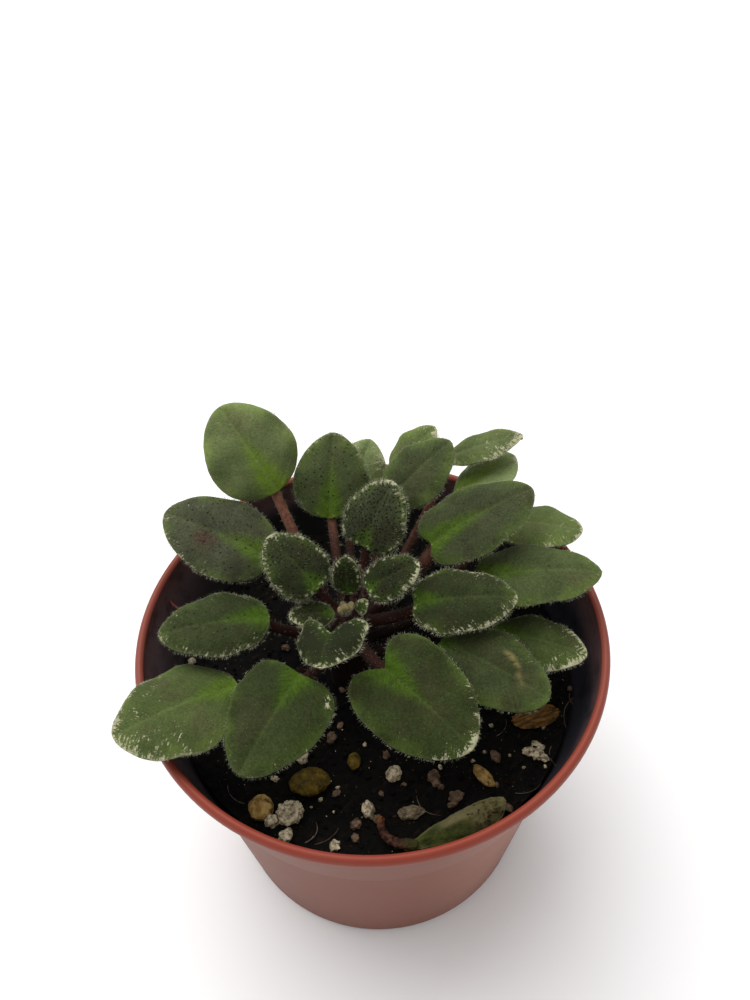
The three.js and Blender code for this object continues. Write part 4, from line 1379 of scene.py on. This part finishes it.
def hair_form():
    """One hair: a slender three-sided point of unit length and radius, with a ring half-way up."""
    pick()
    bpy.ops.mesh.primitive_cone_add(
        vertices=3, radius1=MM, radius2=0, depth=MM, end_fill_type="NGON", location=(0, 0, MM / 2))
    hair = bpy.context.active_object
    bpy.ops.object.transform_apply(location=True, rotation=False, scale=False)
    in_edit_mode(hair, lambda: bpy.ops.mesh.bisect(plane_co=(0, 0, MM * 0.5), plane_no=(0, 0, 1)))
    return form_of(hair)


def across_of(directions, draw):
    """For each direction, two unit vectors across it, the first turned at random."""
    first = unit(np.cross(directions, draw.normal(size=directions.shape)))
    return first, np.cross(directions, first)


def hairs_object(name, form, roots, directions, lengths, radius, draw):
    """All the hairs of one piece: copies of one hair, each with its root, direction, length and bend."""
    points, faces = form
    directions = unit(directions)
    first, second = across_of(directions, draw)
    bend = draw.uniform(-0.35, 0.35, size=len(roots))
    x, y, height = (points[None, :, axis, None] for axis in range(3))
    along = height * (lengths[:, None] * directions)[:, None]
    width = radius * (x * first[:, None] + y * second[:, None])
    curl = (bend * lengths)[:, None, None] * height**2 * first[:, None]
    placed = (roots[:, None] + along + width + curl).reshape(-1, 3)
    starts = np.arange(len(roots))[:, None] * len(points)
    all_faces = [tuple(row) for face in faces for row in (starts + np.array(face)).tolist()]
    return new_piece(name, placed, [], all_faces)


class VIOLET_OT_hairs(bpy.types.Operator):
    """Cover blades and stalks with fine hairs"""

    bl_idname = "violet.hairs"
    bl_label = "Hairs"

    def execute(self, context):
        """Makes one piece of hairs for each leaf."""
        settings = context.scene.violet_plant
        form = hair_form()
        skin = hair_skin()
        for number, (name, leaf) in enumerate(LEAVES.items()):
            draw = np.random.default_rng(HAIR_SEED + number)
            blade = Blade(leaf)
            groups = [make(leaf, blade, draw) for make in (self.on_margin, self.on_face, self.on_stalk)]
            roots, directions, lengths = (np.concatenate(part) for part in zip(*groups))
            lengths *= settings.hair_length
            piece = hairs_object(
                name + "_hairs", form, roots, directions, lengths, settings.hair_radius, draw)
            place_piece(piece, name + "_hairs", [skin])
        return {"FINISHED"}

    def on_margin(self, leaf, blade, draw):
        """Hairs standing out from the margin."""
        bald, fuzzy = MARGIN_HAIRS
        count = int(blade.length * MARGIN_TO_LENGTH * (bald + fuzzy * leaf["fuzz"]))
        station = draw.beta(0.8, 0.8, size=count)
        side = draw.choice([-1.0, 1.0], size=count)
        roots = blade.places(station, side * 0.985, -0.15)
        inside = blade.places(np.clip(station * 0.9 + 0.05, 0, 1), side * 0.7, -0.15)
        directions = unit(roots - inside) + blade.up * draw.uniform(-0.25, 0.7, size=(count, 1))
        directions = directions + draw.normal(scale=0.22, size=(count, 3))
        length = 0.55 + 0.28 * min(leaf["fuzz"], 1.4)
        return roots, directions, draw.uniform(0.45, 1.0, size=count) * length

    def on_face(self, leaf, blade, draw):
        """Shorter hairs leaning towards the tip all over the face."""
        bald, fuzzy = FACE_HAIRS
        count = int(blade.length * leaf["width"] * AREA_TO_BOX * (bald + fuzzy * leaf["fuzz"]))
        station = draw.uniform(0.04, 0.97, size=count)
        side = draw.uniform(-0.96, 0.96, size=count)
        roots = blade.places(station, side, -0.06)
        lean = blade.along * draw.uniform(0.1, 0.7, size=(count, 1))
        directions = blade.normals(station, side) + lean + draw.normal(scale=0.25, size=(count, 3))
        length = 0.55 + 0.25 * min(leaf["fuzz"], 1.6)
        return roots, directions, draw.uniform(0.22, 0.6, size=count) * length

    def on_stalk(self, leaf, blade, draw):
        """Hairs standing out all round the stalk."""
        start, middle, end = stalk_points(leaf, blade)
        corner = middle * 2 - (start + end) / 2
        count = int(np.linalg.norm(end - start) * STALK_HAIRS)
        share = draw.uniform(0.12, 1.0, size=count)[:, None]
        axis = start * (1 - share) ** 2 + corner * 2 * share * (1 - share) + end * share**2
        heading = unit((corner - start) * (1 - share) + (end - corner) * share)
        outward, _ = across_of(heading, draw)
        roots = axis + outward * leaf["stalk"] * 0.44
        directions = outward + heading * draw.uniform(-0.1, 0.5, size=(count, 1))
        return roots, directions, draw.uniform(0.45, 0.95, size=count)


class VIOLET_OT_bud(bpy.types.Operator):
    """Shape the growing tip"""

    bl_idname = "violet.bud"
    bl_label = "Growing tip"

    def execute(self, context):
        """Makes the downy bud between its opening scales."""
        settings = context.scene.violet_plant
        x, y, radius, height = BUD["x"], BUD["y"], BUD["radius"], BUD["height"]
        bottom = POT_HEIGHT + BUD["bottom"]
        scales = (
            ((0, 0, 0.45), (0.95, 0.85, 0.5), (0, 0)),
            ((-0.6, -0.3, 0.5), (0.55, 0.8, 0.42), (0.1, -0.5)),
            ((0.6, 0.3, 0.5), (0.55, 0.85, 0.42), (-0.1, 0.5)),
            ((-0.35, 0.55, 0.55), (0.5, 0.4, 0.34), (-0.5, -0.2)),
        )
        pieces = []
        for (dx, dy, dz), (wide, deep, high), (pitch, yaw) in scales:
            pick()
            bpy.ops.mesh.primitive_uv_sphere_add(
                segments=24, ring_count=16, radius=1,
                location=((x + dx * radius) * MM, (y + dy * radius) * MM, (bottom + dz * height) * MM),
                rotation=(pitch, yaw, 0),
                scale=(wide * radius * MM, deep * radius * MM, high * height * MM))
            bpy.ops.object.transform_apply(location=True, rotation=True, scale=True)
            pieces.append(context.active_object)
        bud = join(pieces)
        points = points_of(bud.data)
        folds = [0.12 * noise.fractal(Vector(point) * 1.3, 0.8, 2.1, 3) for point in points]
        centre = np.array([x, y, bottom + height * 0.45])
        move_points(bud.data, points + (points - centre) * np.array(folds)[:, None])
        smooth(bud)
        place_piece(bud, "growth_bud_fine", [bud_skin()], ["growth_bud"])
        tiny = shape_blade("young_tiny", TINY_LEAF, settings, 0.6)
        face, back, hair = (bpy.data.materials[name] for name in ("blade_face", "blade_back", "hair"))
        place_piece(tiny, "leaf_tiny_blade", [face, back])
        draw = np.random.default_rng(BUD_SEED)
        directions = unit(draw.normal(size=(BUD_HAIRS, 3)) + np.array([0, 0, 0.7]))
        roots = centre + directions * np.array([radius * 0.9, radius * 0.9, height * 0.42])
        lengths = settings.hair_length * draw.uniform(0.4, 1.0, size=BUD_HAIRS)
        down = hairs_object("bud_hairs", hair_form(), roots, directions, lengths, settings.hair_radius, draw)
        place_piece(down, "growth_bud_hairs", [hair])
        return {"FINISHED"}


# The stage


class VIOLET_OT_stage(bpy.types.Operator):
    """Lay the floor and set up light and camera"""

    bl_idname = "violet.stage"
    bl_label = "Stage"

    def execute(self, context):
        """Makes the floor, the lights and the camera."""
        settings = context.scene.violet_stage
        pick()
        bpy.ops.mesh.primitive_plane_add(size=6, location=(0, 0, -FLOOR_GAP))
        floor = context.active_object
        bpy.ops.object.transform_apply(location=True, rotation=False, scale=False)
        floor.name = "floor"
        floor.data.materials.append(floor_paper(settings))
        self.surrounding_light(context.scene, settings)
        self.soft_light("key", LIGHT_PLACE, LIGHT_SIZE, settings.key)
        self.camera(context.scene)
        context.scene.view_settings.view_transform = "Standard"
        return {"FINISHED"}

    def surrounding_light(self, scene, settings):
        """Even white light from all round."""
        world = scene.world or bpy.data.worlds.new("studio")
        scene.world = world
        world.use_nodes = True
        background = world.node_tree.nodes["Background"]
        background.inputs["Color"].default_value = (1, 1, 1, 1)
        background.inputs["Strength"].default_value = settings.sky

    def soft_light(self, name, place, size, power):
        """A square soft light that faces the plant."""
        target = Vector((0, 0, POT_HEIGHT * MM))
        turn = (target - Vector(place)).to_track_quat("-Z", "Y").to_euler()
        bpy.ops.object.light_add(type="AREA", location=place, rotation=turn)
        light = bpy.context.active_object
        light.name = name
        light.data.size = size
        light.data.energy = power

    def camera(self, scene):
        """The camera at the photo's viewpoint."""
        turn = Matrix.Identity(3)
        for angle, axis in ((CAMERA_YAW, "Z"), (90 - CAMERA_DOWN, "X"), (CAMERA_ROLL, "Z")):
            turn = turn @ Matrix.Rotation(math.radians(angle), 3, axis)
        bpy.ops.object.camera_add(location=Vector(CAMERA_PLACE) * MM, rotation=turn.to_euler())
        camera = bpy.context.active_object
        camera.data.lens = CAMERA_LENS
        camera.data.sensor_width = CAMERA_LONG_SIDE
        camera.data.clip_start = 0.005
        camera.data.clip_end = 50
        scene.camera = camera


OPERATORS = (
    VIOLET_OT_pot,
    VIOLET_OT_soil,
    VIOLET_OT_crumbs,
    VIOLET_OT_grains,
    VIOLET_OT_stalks,
    VIOLET_OT_blades,
    VIOLET_OT_old_leaf,
    VIOLET_OT_hairs,
    VIOLET_OT_bud,
    VIOLET_OT_stage,
)


class VIOLET_PT_panel(bpy.types.Panel):
    """The steps that build the potted violet"""

    bl_idname = "VIOLET_PT_panel"
    bl_label = "Potted African Violet"
    bl_space_type = "VIEW_3D"
    bl_region_type = "UI"
    bl_category = "Violet"

    def draw(self, context):
        """Lists the operators and the settings."""
        for operator in OPERATORS:
            self.layout.operator(operator.bl_idname)
        for group in SETTINGS:
            settings = getattr(context.scene, group)
            box = self.layout.box()
            for name in SETTINGS[group].__annotations__:
                box.prop(settings, name)


SETTINGS = {
    "violet_pot": PotSettings,
    "violet_soil": SoilSettings,
    "violet_plant": PlantSettings,
    "violet_stage": StageSettings,
}


CLASSES = (*SETTINGS.values(), *OPERATORS, VIOLET_PT_panel)


def register():
    """Adds the settings, operators and panel."""
    for item in CLASSES:
        bpy.utils.register_class(item)
    for name, group in SETTINGS.items():
        setattr(bpy.types.Scene, name, PointerProperty(type=group))


def unregister():
    """Takes them away again."""
    for name in SETTINGS:
        delattr(bpy.types.Scene, name)
    for item in reversed(CLASSES):
        bpy.utils.unregister_class(item)


def main():
    """Builds the potted violet on its stage."""
    register()
    for operator in OPERATORS:
        group, name = operator.bl_idname.split(".")
        getattr(getattr(bpy.ops, group), name)()


if __name__ == "__main__":
    main()
